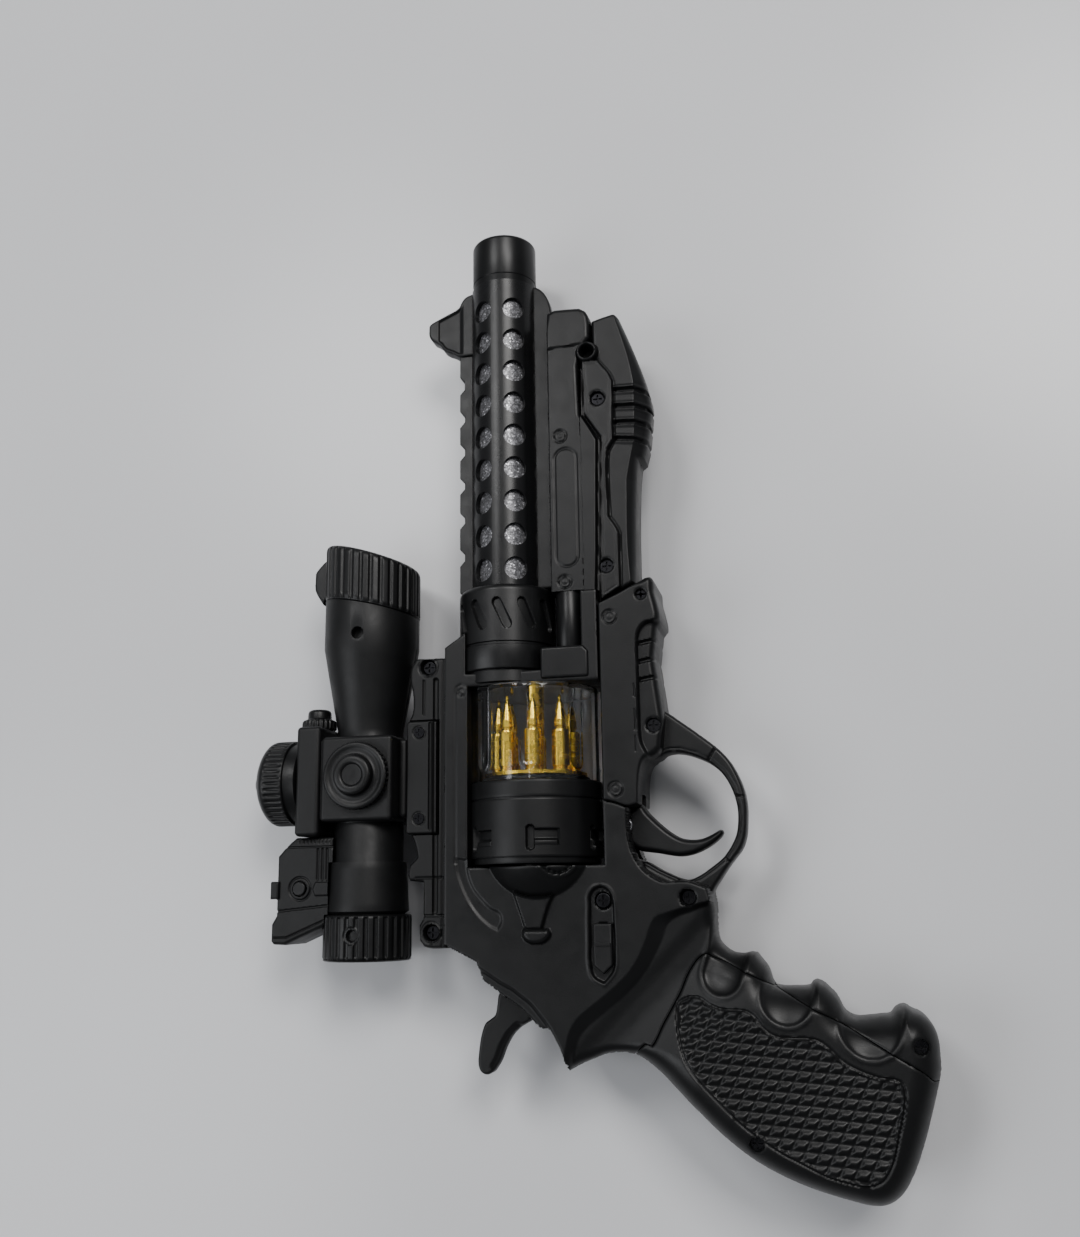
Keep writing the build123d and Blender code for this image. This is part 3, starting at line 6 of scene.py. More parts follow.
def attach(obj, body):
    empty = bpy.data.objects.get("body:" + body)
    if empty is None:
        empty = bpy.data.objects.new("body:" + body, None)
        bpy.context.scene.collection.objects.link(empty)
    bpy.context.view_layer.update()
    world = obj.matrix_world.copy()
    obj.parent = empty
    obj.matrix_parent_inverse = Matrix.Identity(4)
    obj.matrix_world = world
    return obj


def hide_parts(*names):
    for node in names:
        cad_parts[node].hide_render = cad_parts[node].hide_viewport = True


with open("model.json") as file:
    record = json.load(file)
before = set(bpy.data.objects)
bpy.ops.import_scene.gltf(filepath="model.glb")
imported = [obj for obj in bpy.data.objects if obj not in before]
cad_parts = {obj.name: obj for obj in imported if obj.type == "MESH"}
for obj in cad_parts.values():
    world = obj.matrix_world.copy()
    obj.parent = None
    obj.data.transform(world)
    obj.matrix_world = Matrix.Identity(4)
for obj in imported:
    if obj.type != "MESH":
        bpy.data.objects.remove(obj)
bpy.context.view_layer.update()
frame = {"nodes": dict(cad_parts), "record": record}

NODES = frame["nodes"]
MM = 0.001
OX, OY, AZ = 8.40, 61.55, 21.3          # drawing origin in the row frame, mm

# ---------------------------------------------------------------- materials
def nt(name):
    m = bpy.data.materials.new(name)
    m.use_nodes = True
    t = m.node_tree
    b = t.nodes["Principled BSDF"]
    return m, t, b


def link(t, a, b):
    t.links.new(a, b)


def noise(t, scale, detail=3.0, rough=0.55, coords=None, dist=0.0):
    n = t.nodes.new("ShaderNodeTexNoise")
    n.inputs["Scale"].default_value = scale
    n.inputs["Detail"].default_value = detail
    n.inputs["Roughness"].default_value = rough
    n.inputs["Distortion"].default_value = dist
    if coords is not None:
        link(t, coords, n.inputs["Vector"])
    return n


def ramp(t, src, stops):
    r = t.nodes.new("ShaderNodeValToRGB")
    e = r.color_ramp.elements
    e[0].position, e[0].color = stops[0][0], (*stops[0][1], 1)
    e[1].position, e[1].color = stops[-1][0], (*stops[-1][1], 1)
    for p, c in stops[1:-1]:
        k = e.new(p)
        k.color = (*c, 1)
    link(t, src, r.inputs["Fac"])
    return r


def grey(v):
    return (v, v, v)


def span(t, src, lo, hi, a=0.0, b=1.0):
    m = t.nodes.new("ShaderNodeMapRange")
    m.inputs["From Min"].default_value = a
    m.inputs["From Max"].default_value = b
    m.inputs["To Min"].default_value = lo
    m.inputs["To Max"].default_value = hi
    link(t, src, m.inputs["Value"])
    return m


def objcoords(t, scale=(1, 1, 1), rot=(0, 0, 0)):
    c = t.nodes.new("ShaderNodeTexCoord")
    m = t.nodes.new("ShaderNodeMapping")
    m.inputs["Scale"].default_value = scale
    m.inputs["Rotation"].default_value = rot
    link(t, c.outputs["Object"], m.inputs["Vector"])
    return m.outputs["Vector"]


def math_node(t, op, a, b=None):
    n = t.nodes.new("ShaderNodeMath")
    n.operation = op
    for k, v in ((0, a), (1, b)):
        if v is None:
            continue
        if isinstance(v, (int, float)):
            n.inputs[k].default_value = v
        else:
            link(t, v, n.inputs[k])
    return n.outputs[0]


def bump(t, height, strength, distance, normal=None):
    b = t.nodes.new("ShaderNodeBump")
    b.inputs["Strength"].default_value = strength
    b.inputs["Distance"].default_value = distance
    link(t, height, b.inputs["Height"])
    if normal is not None:
        link(t, normal, b.inputs["Normal"])
    return b.outputs["Normal"]


def plastic(name, base, rough, grain=0.5, grain_size=1.0, spread=0.10, spec=0.5, tint=(0.96, 1.0, 1.06)):
    """moulded plastic: fine moulding grain, uneven gloss from handling, faint scuffs and a little dust"""
    m, t, b = nt(name)
    vec = objcoords(t)
    broad = noise(t, 26, 4, 0.6, vec, 0.6)
    mid = noise(t, 160, 5, 0.62, vec)
    fine = noise(t, 2600 / grain_size, 2, 0.5, vec)
    smear = noise(t, 70, 6, 0.72, vec, 1.6)
    dust = noise(t, 1300, 3, 0.7, vec)
    speck = ramp(t, dust.outputs["Fac"], [(0.0, grey(0)), (0.71, grey(0)), (0.80, grey(1))])
    lo = tuple(base * 0.78 * c for c in tint)
    hi = tuple(base * 1.25 * c for c in tint)
    col = ramp(t, broad.outputs["Fac"], [(0.25, lo), (0.75, hi)])
    mix = t.nodes.new("ShaderNodeMixRGB")
    mix.inputs["Color2"].default_value = (base * 2.6 + 0.004, base * 2.6 + 0.004, base * 2.6 + 0.004, 1)
    link(t, col.outputs["Color"], mix.inputs["Color1"])
    f = math_node(t, "MULTIPLY", speck.outputs["Color"], 0.30)
    link(t, f, mix.inputs["Fac"])
    # edges polished and dusted by handling
    geo = t.nodes.new("ShaderNodeNewGeometry")
    edge = ramp(t, geo.outputs["Pointiness"], [(0.0, grey(0)), (0.535, grey(0)), (0.66, grey(1))])
    wear = math_node(t, "MULTIPLY", edge.outputs["Color"], mid.outputs["Fac"])
    mix2 = t.nodes.new("ShaderNodeMixRGB")
    mix2.inputs["Color2"].default_value = (base * 2.4 + 0.006, base * 2.4 + 0.006, base * 2.5 + 0.007, 1)
    link(t, mix.outputs["Color"], mix2.inputs["Color1"])
    link(t, math_node(t, "MULTIPLY", wear, 0.40), mix2.inputs["Fac"])
    link(t, mix2.outputs["Color"], b.inputs["Base Color"])
    r1 = span(t, mid.outputs["Fac"], rough - spread * 0.5, rough + spread * 0.5, 0.25, 0.75)
    r2 = span(t, smear.outputs["Fac"], -spread * 0.5, spread * 0.5, 0.3, 0.7)
    rr = math_node(t, "ADD", r1.outputs[0], r2.outputs[0])
    link(t, math_node(t, "SUBTRACT", rr, math_node(t, "MULTIPLY", wear, 0.10)), b.inputs["Roughness"])
    b.inputs["Specular IOR Level"].default_value = spec
    b.inputs["IOR"].default_value = 1.5
    n1 = bump(t, fine.outputs["Fac"], grain, 0.00005)
    n2 = bump(t, mid.outputs["Fac"], 0.18, 0.00006, n1)
    link(t, n2, b.inputs["Normal"])
    return m


def metal(name, color, rough, spread=0.08, brushed=None, grain=0.2):
    m, t, b = nt(name)
    vec = objcoords(t, brushed or (1, 1, 1))
    n = noise(t, 300, 4, 0.6, vec)
    big = noise(t, 60, 3, 0.5, objcoords(t))
    c = ramp(t, big.outputs["Fac"], [(0.3, tuple(x * 0.86 for x in color)), (0.7, tuple(min(1, x * 1.06) for x in color))])
    link(t, c.outputs["Color"], b.inputs["Base Color"])
    b.inputs["Metallic"].default_value = 1.0
    r = span(t, n.outputs["Fac"], rough - spread, rough + spread, 0.25, 0.75)
    link(t, r.outputs[0], b.inputs["Roughness"])
    link(t, bump(t, n.outputs["Fac"], grain, 0.00005), b.inputs["Normal"])
    return m


def glitter(name):
    m, t, b = nt(name)
    vec = objcoords(t)
    v = t.nodes.new("ShaderNodeTexVoronoi")
    v.inputs["Scale"].default_value = 1900
    link(t, vec, v.inputs["Vector"])
    v2 = t.nodes.new("ShaderNodeTexVoronoi")
    v2.inputs["Scale"].default_value = 1900
    v2.feature = "DISTANCE_TO_EDGE"
    link(t, vec, v2.inputs["Vector"])
    sep = t.nodes.new("ShaderNodeSeparateColor")
    link(t, v.outputs["Color"], sep.inputs["Color"])
    c = ramp(t, sep.outputs["Red"], [(0.0, (0.08, 0.08, 0.085)), (0.6, (0.18, 0.18, 0.19)), (0.93, (0.32, 0.32, 0.34)),
                                     (1.0, (0.80, 0.80, 0.84))])
    e = ramp(t, v2.outputs["Distance"], [(0.0, grey(0.25)), (0.10, grey(1))])
    mm = t.nodes.new("ShaderNodeMixRGB")
    mm.blend_type = "MULTIPLY"
    mm.inputs["Fac"].default_value = 0.8
    link(t, c.outputs["Color"], mm.inputs["Color1"])
    link(t, e.outputs["Color"], mm.inputs["Color2"])
    link(t, mm.outputs["Color"], b.inputs["Base Color"])
    b.inputs["Metallic"].default_value = 0.6
    r = span(t, sep.outputs["Green"], 0.26, 0.5)
    link(t, r.outputs[0], b.inputs["Roughness"])
    link(t, bump(t, sep.outputs["Blue"], 0.55, 0.0003), b.inputs["Normal"])
    return m


def clear(name, tint=(0.97, 0.98, 1.0), rough=0.04, ior=1.47, coat=0.0):
    m, t, b = nt(name)
    vec = objcoords(t)
    n = noise(t, 160, 3, 0.6, vec)
    smear = noise(t, 60, 5, 0.7, vec, 1.0)
    b.inputs["Base Color"].default_value = (*tint, 1)
    b.inputs["Transmission Weight"].default_value = 1.0
    b.inputs["IOR"].default_value = ior
    b.inputs["Coat Weight"].default_value = coat
    b.inputs["Coat Roughness"].default_value = 0.04
    b.inputs["Coat IOR"].default_value = 1.45
    link(t, span(t, smear.outputs["Fac"], max(0.0, rough - 0.03), rough + 0.03, 0.35, 0.85).outputs[0], b.inputs["Roughness"])
    link(t, bump(t, n.outputs["Fac"], 0.05, 0.0001), b.inputs["Normal"])
    return m


M = {
    "shell_black": plastic("shell_black", 0.0042, 0.39, spec=0.27),
    "grip_black": plastic("grip_black", 0.0044, 0.39, spec=0.28),
    "barrel_black": plastic("barrel_black", 0.0045, 0.33, grain=0.20, spread=0.06, spec=0.28),
    "collar_satin": plastic("collar_satin", 0.0045, 0.36, spec=0.36),
    "trim_black": plastic("trim_black", 0.0046, 0.40, spec=0.30),
    "scope_black": plastic("scope_black", 0.0042, 0.46, spec=0.28),
    "knob_black": plastic("knob_black", 0.0042, 0.38, spec=0.30),
    "clear_plastic": clear("clear_plastic", (0.95, 0.955, 0.96), 0.0, 1.07, 0.8),
    "lens_clear": clear("lens_clear", (0.75, 0.85, 0.95), 0.03),
    "film_silver": glitter("film_silver"),
    "gold_plated": metal("gold_plated", (0.80, 0.54, 0.06), 0.27, 0.03, grain=0.03),
    "steel": metal("steel", (0.42, 0.42, 0.44), 0.34),
    "gear_white": plastic("gear_white", 0.55, 0.45),
    "board_green": plastic("board_green", 0.05, 0.35, tint=(0.35, 1.6, 0.5)),
    "switch_black": plastic("switch_black", 0.03, 0.5),
    "led_white": clear("led_white", (0.98, 0.98, 0.94), 0.10),
    "cell_wrap": plastic("cell_wrap", 0.10, 0.30, tint=(0.8, 1.0, 0.9)),
    "contact_steel": metal("contact_steel", (0.70, 0.69, 0.66), 0.26),
}
SLOT = {s["node"]: s["material_slot"] for s in frame["record"]["subparts"]}


def paint(o, mat):
    o.data.materials.clear()
    o.data.materials.append(mat)


for n, o in NODES.items():
    paint(o, M[SLOT[n]])

# dark plated screws
dark_screw = metal("screw_dark", (0.018, 0.018, 0.02), 0.36, grain=0.3)
for n in ("housing_screws", "cover_screw", "mount_screws", "clamp_screws"):
    paint(NODES[n], dark_screw)


def ease_edges(o, width, segments=2, angle=30):
    w = o.modifiers.new("weld", "WELD")
    w.merge_threshold = 1e-6
    b = o.modifiers.new("ease", "BEVEL")
    b.width = width * MM
    b.segments = segments
    b.limit_method = "ANGLE"
    b.angle_limit = math.radians(angle)
    b.harden_normals = False
    b.use_clamp_overlap = True


# ---------------------------------------------------------------- relief pieces
# Moulded halves are built as height fields over exact outlines.  Outline points are millimetres
# about the drawing origin; z is the height above the parting plane.
def spline(pts, n=4, closed=True, corner=48.0):
    """smooth curve through the points; points that turn by more than `corner` degrees stay sharp"""
    p = np.asarray(pts, float)
    k = len(p)
    prev, nxt = np.roll(p, 1, 0), np.roll(p, -1, 0)
    a, b = p - prev, nxt - p
    la, lb = np.linalg.norm(a, axis=1), np.linalg.norm(b, axis=1)
    ua, ub = a / np.maximum(la, 1e-9)[:, None], b / np.maximum(lb, 1e-9)[:, None]
    turn = np.degrees(np.arccos(np.clip((ua * ub).sum(1), -1, 1)))
    tang = ua + ub
    tang /= np.maximum(np.linalg.norm(tang, axis=1), 1e-9)[:, None]
    sharp = turn > corner
    out = []
    segs = k if closed else k - 1
    for i in range(segs):
        j = (i + 1) % k
        L = lb[i]
        ti = ub[i] if sharp[i] or (not closed and i == 0) else tang[i]
        tj = ub[i] if sharp[j] or (not closed and j == k - 1) else tang[j]
        m = max(1, min(n, int(L / 0.5)))
        for q in range(m):
            t = q / m
            h00, h10, h01, h11 = 2*t**3 - 3*t*t + 1, t**3 - 2*t*t + t, -2*t**3 + 3*t*t, t**3 - t*t
            out.append(h00 * p[i] + h10 * L * ti + h01 * p[j] + h11 * L * tj)
    if not closed:
        out.append(p[-1])
    return np.array(out)


def sdf(poly, X, Y):
    """signed distance to a closed outline, negative inside"""
    best = np.full(X.shape, 1e18)
    inside = np.zeros(X.shape, bool)
    q = np.asarray(poly, float)
    for (ax, ay), (bx, by) in zip(q, np.roll(q, -1, 0)):
        ex, ey = bx - ax, by - ay
        L = ex * ex + ey * ey
        if L < 1e-12:
            continue
        wx, wy = X - ax, Y - ay
        t = np.clip((wx * ex + wy * ey) / L, 0, 1)
        dx, dy = wx - ex * t, wy - ey * t
        np.minimum(best, dx * dx + dy * dy, out=best)
        cr = ex * wy - ey * wx
        inside ^= ((ay <= Y) & (by > Y) & (cr > 0)) | ((ay > Y) & (by <= Y) & (cr < 0))
    d = np.sqrt(best)
    return np.where(inside, -d, d)


def line_dist(pts, X, Y):
    best = np.full(X.shape, 1e18)
    q = np.asarray(pts, float)
    for (ax, ay), (bx, by) in zip(q[:-1], q[1:]):
        ex, ey = bx - ax, by - ay
        L = max(ex * ex + ey * ey, 1e-12)
        wx, wy = X - ax, Y - ay
        t = np.clip((wx * ex + wy * ey) / L, 0, 1)
        dx, dy = wx - ex * t, wy - ey * t
        np.minimum(best, dx * dx + dy * dy, out=best)
    return np.sqrt(best)


def S(v, a, b):
    t = np.clip((v - a) / (b - a), 0, 1)
    return t * t * (3 - 2 * t)


def inn(d, w=0.5):
    """1 inside the outline, 0 outside, over a ramp w wide"""
    return 1.0 - S(d, -w / 2, w / 2)


def groove(dist, half, depth):
    """rounded groove of the given half width"""
    return depth * np.sqrt(np.clip(1 - (dist / half) ** 2, 0, 1))


def rolled(h, d, rh, rv):
    """h lowered towards the outline: quarter ellipse rh wide and rv deep; d is negative inside"""
    u = np.clip(-d / np.maximum(rh, 1e-6), 0, 1)
    return h - rv * (1 - np.sqrt(np.clip(1 - (1 - u) ** 2, 0, 1)))


def circle(cx, cy, r, X, Y):
    return np.hypot(X - cx, Y - cy) - r


def rectd(x0, y0, x1, y1, X, Y):
    dx = np.maximum(x0 - X, X - x1)
    dy = np.maximum(y0 - Y, Y - y1)
    out = np.hypot(np.maximum(dx, 0), np.maximum(dy, 0))
    return np.where((dx > 0) | (dy > 0), out, np.maximum(dx, dy))


def relief(name, body, slot, nodes, outline_d, top, bottom, box, cell=0.34, side=1, sharp=52, mat=None):
    """closed mesh between top(x, y) and bottom(x, y) over the region where outline_d is negative"""
    x0, y0, x1, y1 = box
    nx, ny = int(math.ceil((x1 - x0) / cell)) + 1, int(math.ceil((y1 - y0) / cell)) + 1
    gx = x0 + cell * np.arange(nx)
    gy = y0 + cell * np.arange(ny)
    X, Y = np.meshgrid(gx, gy, indexing="ij")
    X, Y = X.ravel().copy(), Y.ravel().copy()
    D = outline_d(X, Y)
    near = np.abs(D) < 0.55 * cell
    xs, ys = X[near], Y[near]
    e = 0.02
    for _ in range(2):
        d0 = outline_d(xs, ys)
        gxx = (outline_d(xs + e, ys) - outline_d(xs - e, ys)) / (2 * e)
        gyy = (outline_d(xs, ys + e) - outline_d(xs, ys - e)) / (2 * e)
        g = np.maximum(gxx ** 2 + gyy ** 2, 0.25)
        xs, ys = xs - d0 * gxx / g, ys - d0 * gyy / g
    X[near], Y[near] = xs, ys
    keep = (D < 0) | near
    K = keep.reshape(nx, ny)
    idx = np.arange(nx * ny).reshape(nx, ny)
    a, b, c, d = idx[:-1, :-1].ravel(), idx[1:, :-1].ravel(), idx[1:, 1:].ravel(), idx[:-1, 1:].ravel()
    ka, kb, kc, kd = keep[a], keep[b], keep[c], keep[d]
    n = ka.astype(int) + kb + kc + kd
    # a cell lies inside if its middle does
    mx = (X[a] * ka + X[b] * kb + X[c] * kc + X[d] * kd) / np.maximum(n, 1)
    my = (Y[a] * ka + Y[b] * kb + Y[c] * kc + Y[d] * kd) / np.maximum(n, 1)
    allnear = (near[a] | ~ka) & (near[b] | ~kb) & (near[c] | ~kc) & (near[d] | ~kd)
    ok = n >= 3
    chk = ok & allnear
    if chk.any():
        bad = outline_d(mx[chk], my[chk]) > -1e-4
        w = np.where(chk)[0][bad]
        ok[w] = False
    q = ok & (n == 4)
    quads = np.stack([a[q], b[q], c[q], d[q]], 1)
    tris = []
    for miss, order in ((ka, (b, c, d)), (kb, (a, c, d)), (kc, (a, b, d)), (kd, (a, b, c))):
        m = ok & (n == 3) & ~miss
        tris.append(np.stack([o[m] for o in order], 1))
    tris = np.concatenate(tris) if tris else np.zeros((0, 3), int)
    used = np.zeros(nx * ny, bool)
    used[quads.ravel()] = True
    used[tris.ravel()] = True
    new = -np.ones(nx * ny, int)
    ui = np.where(used)[0]
    new[ui] = np.arange(len(ui))
    px, py = X[ui], Y[ui]
    zt = top(px, py)
    zb = np.minimum(bottom(px, py), zt - 0.05)
    quads, tris = new[quads], new[tris]
    N = len(ui)
    # outline edges, in the direction their face runs
    e1 = np.concatenate([np.stack([quads[:, i], quads[:, (i + 1) % 4]], 1) for i in range(4)] +
                        [np.stack([tris[:, i], tris[:, (i + 1) % 3]], 1) for i in range(3)])
    key = e1[:, 0].astype(np.int64) * N + e1[:, 1]
    rev = e1[:, 1].astype(np.int64) * N + e1[:, 0]
    rim = e1[~np.isin(key, rev)]
    z = lambda v: AZ + side * v
    verts = np.concatenate([np.stack([px - OX, py - OY, z(zt)], 1), np.stack([px - OX, py - OY, z(zb)], 1)]) * MM
    walls = np.stack([rim[:, 1], rim[:, 0], rim[:, 0] + N, rim[:, 1] + N], 1)
    faces = [quads, quads[:, ::-1] + N, walls]
    tfaces = [tris, tris[:, ::-1] + N]
    if side < 0:
        faces = [f[:, ::-1] for f in faces]
        tfaces = [f[:, ::-1] for f in tfaces]
    me = bpy.data.meshes.new(name)
    me.from_pydata(verts.tolist(), [], [f for g in faces + tfaces for f in g.tolist()])
    me.update()
    me.polygons.foreach_set("use_smooth", [True] * len(me.polygons))
    me.set_sharp_from_angle(angle=math.radians(sharp))
    o = bpy.data.objects.new(name, me)
    bpy.context.scene.collection.objects.link(o)
    o.data.materials.append(mat or M[slot])
    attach(o, body)
    if nodes:
        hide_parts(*nodes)
    return o


# outlines of the frame, neck and grip
FRAME = spline([(-28.3, 69.8), (-20.7, 74.9), (-20.7, 61.0), (17.05, 61.0), (17.05, 86.0), (22.7, 86.0), (22.7, 19.0),
                (26.0, 18.4), (30.4, 16.7), (30.1, 13.2), (30.2, 9.7), (30.6, 6.6), (31.3, 3.7), (33.6, -0.8),
                (37.1, -4.1), (41.8, -6.2), (46.0, -7.2), (51.5, -10.5), (50.8, -13.6), (45.3, -15.8), (39.3, -16.9),
                (36.1, -24.0), (32.9, -31.1), (23.6, -39.6), (14.4, -46.1), (10.7, -50.9), (9.5, -59.8), (8.3, -54.5),
                (4.8, -48.4), (1.4, -47.6), (-0.7, -45.4), (-4.2, -42.2), (-10.6, -38.0), (-16.2, -34.0),
                (-17.1, -31.4), (-17.8, -28.7), (-23.6, -25.8), (-28.3, -23.6)], 4, True, 34)
FINGERS = [(55.4, -23.1), (57.3, -25.2), (59.5, -26.5), (62.5, -26.9), (64.4, -26.5), (66.3, -26.7), (67.4, -28.2),
           (69.0, -30.2), (69.9, -32.2), (70.4, -34.2), (71.3, -35.8), (73.5, -36.2), (77.0, -36.2), (80.4, -36.1),
           (81.4, -35.8), (82.0, -34.9), (83.5, -34.5), (85.2, -35.2), (86.9, -36.8), (88.6, -38.7), (89.6, -40.6),
           (90.5, -42.6), (92.0, -43.9), (94.1, -44.6), (97.5, -44.4), (101.0, -44.0), (103.4, -43.7), (104.7, -42.2),
           (106.6, -41.3), (108.3, -41.6), (109.3, -42.4), (111.6, -43.3), (113.5, -45.0), (114.9, -47.3),
           (115.7, -50.3), (115.85, -54.8), (115.75, -58.3), (115.2, -60.6)]
BUTT = [(36.5, -60.2), (41.6, -65.0), (47.2, -70.6), (55.6, -78.2), (63.6, -83.8), (74.8, -89.0), (88.3, -92.9),
        (96.3, -94.1), (100.2, -92.9), (103.6, -89.9), (106.6, -85.0), (109.8, -77.4), (113.0, -67.9),
        (115.2, -60.6)]
NECKGRIP = spline([(30.0, -2.0), (37.0, -4.6), (40.0, -5.6), (47.7, -5.6), (53.3, -7.6), (54.7, -12.9),
                   (54.7, -18.7)] + FINGERS + BUTT[-2::-1] +
                  [(33.1, -57.4), (29.9, -55.6), (25.0, -54.9), (21.0, -55.3), (17.7, -56.5), (13.4, -58.2),
                   (9.9, -60.0), (9.0, -52.0), (4.0, -42.0), (8.0, -20.0)], 4, True, 46)
SEAM = [(33.2, -51.9), (35.3, -52.5), (36.2, -51.3), (38.7, -46.5), (41.5, -41.8), (44.1, -37.3), (46.3, -32.5),
        (47.9, -30.0), (49.5, -28.0), (51.0, -26.9), (51.9, -26.6), (54.1, -27.5), (57.6, -28.9), (61.8, -31.1),
        (66.0, -33.1), (72.9, -36.7), (81.0, -41.2), (89.0, -45.3), (96.8, -50.0), (104.5, -54.7), (110.6, -58.3),
        (113.0, -60.6), (114.0, -59.6)]
SEAM_S = spline(SEAM, 4, False, 60)
COVER = np.concatenate([[(30.6, -54.2)], SEAM_S[:-2], [(118.0, -61.4), (118.0, -99.0), (30.0, -99.0), (26.0, -58.0)]])
GUARD_OUT = [(42.9, 46.1), (46.5, 43.4), (52.6, 38.7), (58.5, 33.7), (61.4, 30.2), (63.6, 25.9), (65.2, 21.2),
             (65.8, 16.2), (65.6, 12.2), (65.1, 7.7), (63.7, 3.9), (61.4, 1.0), (59.3, -1.6), (56.9, -4.9),
             (54.6, -8.3), (53.6, -11.3)]
GUARD_IN = [(37.0, 31.6), (39.8, 32.4), (42.4, 33.5), (46.1, 33.6), (50.8, 32.2), (55.3, 29.9), (58.8, 26.6),
            (61.3, 22.2), (62.8, 16.8), (62.9, 12.3), (62.1, 7.8), (60.1, 4.0), (57.8, 1.1), (54.4, -1.5),
            (50.7, -3.9), (47.6, -5.1), (44.7, -4.7), (41.6, -3.4), (38.5, -1.9), (36.2, -0.5), (34.6, 0.4)]
GUARD = spline([(41.3, 47.0)] + GUARD_OUT + [(46.0, -12.0), (36.0, -6.0), (32.4, 0.8)] + GUARD_IN[::-1] +
               [(35.6, 31.2), (35.6, 46.6)], 4, True, 60)
STEP_TOP = spline([(53.0, -11.6), (48.2, -12.6), (44.4, -13.7), (40.8, -14.8), (37.7, -15.9), (36.1, -18.2),
                   (34.5, -22.5), (32.2, -27.3), (29.7, -31.0), (26.6, -34.2), (22.0, -38.1), (17.4, -41.5),
                   (13.4, -44.8), (11.2, -48.0), (9.9, -52.2), (9.5, -60.0)], 4, False)
STEP_BOT = spline([(54.0, -12.5), (50.9, -13.5), (47.9, -14.6), (44.9, -15.5), (42.4, -16.9), (40.9, -18.3),
                   (39.5, -22.0), (36.9, -26.9), (33.8, -31.7), (30.7, -35.4), (26.6, -39.1), (22.9, -42.0),
                   (19.3, -44.8), (15.2, -48.2), (13.1, -51.1), (11.7, -55.3), (10.6, -60.0)], 4, False)
FAR = [(9.0, -130.0), (150.0, -130.0), (150.0, -8.0)]
NECK_A = np.concatenate([STEP_TOP, FAR])
NECK_B = np.concatenate([STEP_BOT, FAR])
HLINE = spline([(-17.0, -30.0), (-13.2, -32.2), (-10.1, -34.2), (-6.4, -36.1), (-3.9, -37.9), (-0.8, -40.2),
                (2.2, -43.6), (5.2, -47.5), (7.6, -52.6), (9.2, -60.0)], 4, False)
HLOW = np.concatenate([HLINE, [(9.0, -70.0), (-40.0, -70.0), (-40.0, -30.0)]])
CRESCENT = spline([(-24.1, 2.6), (-23.7, -1.6), (-22.4, -5.6), (-20.2, -10.2), (-17.0, -14.7), (-13.2, -18.0),
                   (-10.9, -19.2), (-9.6, -16.9), (-10.0, -14.5), (-13.1, -12.7), (-15.7, -10.2), (-18.6, -6.6),
                   (-20.2, -2.6), (-20.8, 2.0)], 4, True, 60)
THUMB = spline([(-5.6, -8.0), (-4.2, -11.9), (-2.9, -15.7), (-1.9, -18.9), (3.2, -19.0), (4.2, -15.8), (5.4, -12.3),
                (7.4, -8.3)], 4, True, 40)
TKNOB = spline([(-2.7, -18.9), (-3.0, -21.0), (-1.2, -23.0), (1.6, -23.6), (4.4, -22.8), (6.0, -20.8), (5.4, -18.9)],
               4, True, 60)
SWITCH = spline([(18.1, -12.2), (18.1, -9.6), (19.4, -7.6), (21.4, -6.9), (23.4, -7.6), (24.7, -9.6), (25.2, -16.6),
                 (25.3, -25.3), (24.8, -31.0), (21.8, -34.7), (18.9, -33.0), (17.9, -29.6), (17.9, -22.4),
                 (17.9, -16.6)], 4, True, 60)
CHECK = spline([(43.5, -40.4), (45.2, -39.3), (47.3, -38.6), (50.2, -39.0), (52.6, -40.6), (56.3, -41.9),
                (62.8, -42.2), (65.4, -43.6), (67.4, -46.3), (69.8, -48.4), (72.5, -49.3), (82.4, -49.9),
                (85.8, -52.2), (89.1, -55.4), (93.0, -57.6), (98.7, -59.6), (104.0, -60.5), (105.1, -62.6),
                (104.8, -66.5), (104.0, -70.3), (102.8, -74.2), (101.8, -78.0), (100.1, -82.6), (97.7, -86.0),
                (95.3, -87.3), (92.6, -87.7), (88.7, -87.1), (83.5, -85.8), (79.6, -84.1), (75.7, -82.2),
                (71.7, -80.3), (67.8, -78.0), (61.1, -73.4), (54.5, -67.3), (48.6, -61.2), (46.4, -58.4),
                (44.8, -55.2), (43.8, -51.7), (43.1, -47.6), (42.9, -43.5)], 3, True, 60)
BAY_C = (76.5, -64.2)
BAY_D = (math.cos(math.radians(-25)), math.sin(math.radians(-25)))
BAY_N = (-BAY_D[1], BAY_D[0])


def bay(a, b):
    return (BAY_C[0] + a * BAY_D[0] + b * BAY_N[0], BAY_C[1] + a * BAY_D[1] + b * BAY_N[1])


BAY = [bay(-26, 16.6), bay(26, 16.6), bay(26, -16.6), (50.5, -71.6), (46.7, -64.5)]
SOUND_BAY = [(-24.6, -8.6), (-24.6, -23.3), (-17.2, -26.9), (-16.2, -30.0), (-2.6, -30.0), (-2.6, -8.6)]
# finger scallops: centre, radius
SCALLOPS = [((56.4, -32.6), 5.5), ((74.6, -39.3), 6.8), ((97.2, -46.9), 7.9)]
SCALLOP_DIR = (0.30, 0.954)
FRAME_SCREWS = [(22.0, -10.9, 9.4), (47.6, -10.4, 7.0), (36.7, 83.2, 9.6), (39.0, 41.7, 7.5), (110.4, -51.6, 9.0)]


def silhouette(X, Y):
    frame_d = np.maximum(sdf(FRAME, X, Y), -rectd(-20.0, -0.2, 22.7, 56.4, X, Y))
    return np.minimum(frame_d, sdf(NECKGRIP, X, Y))


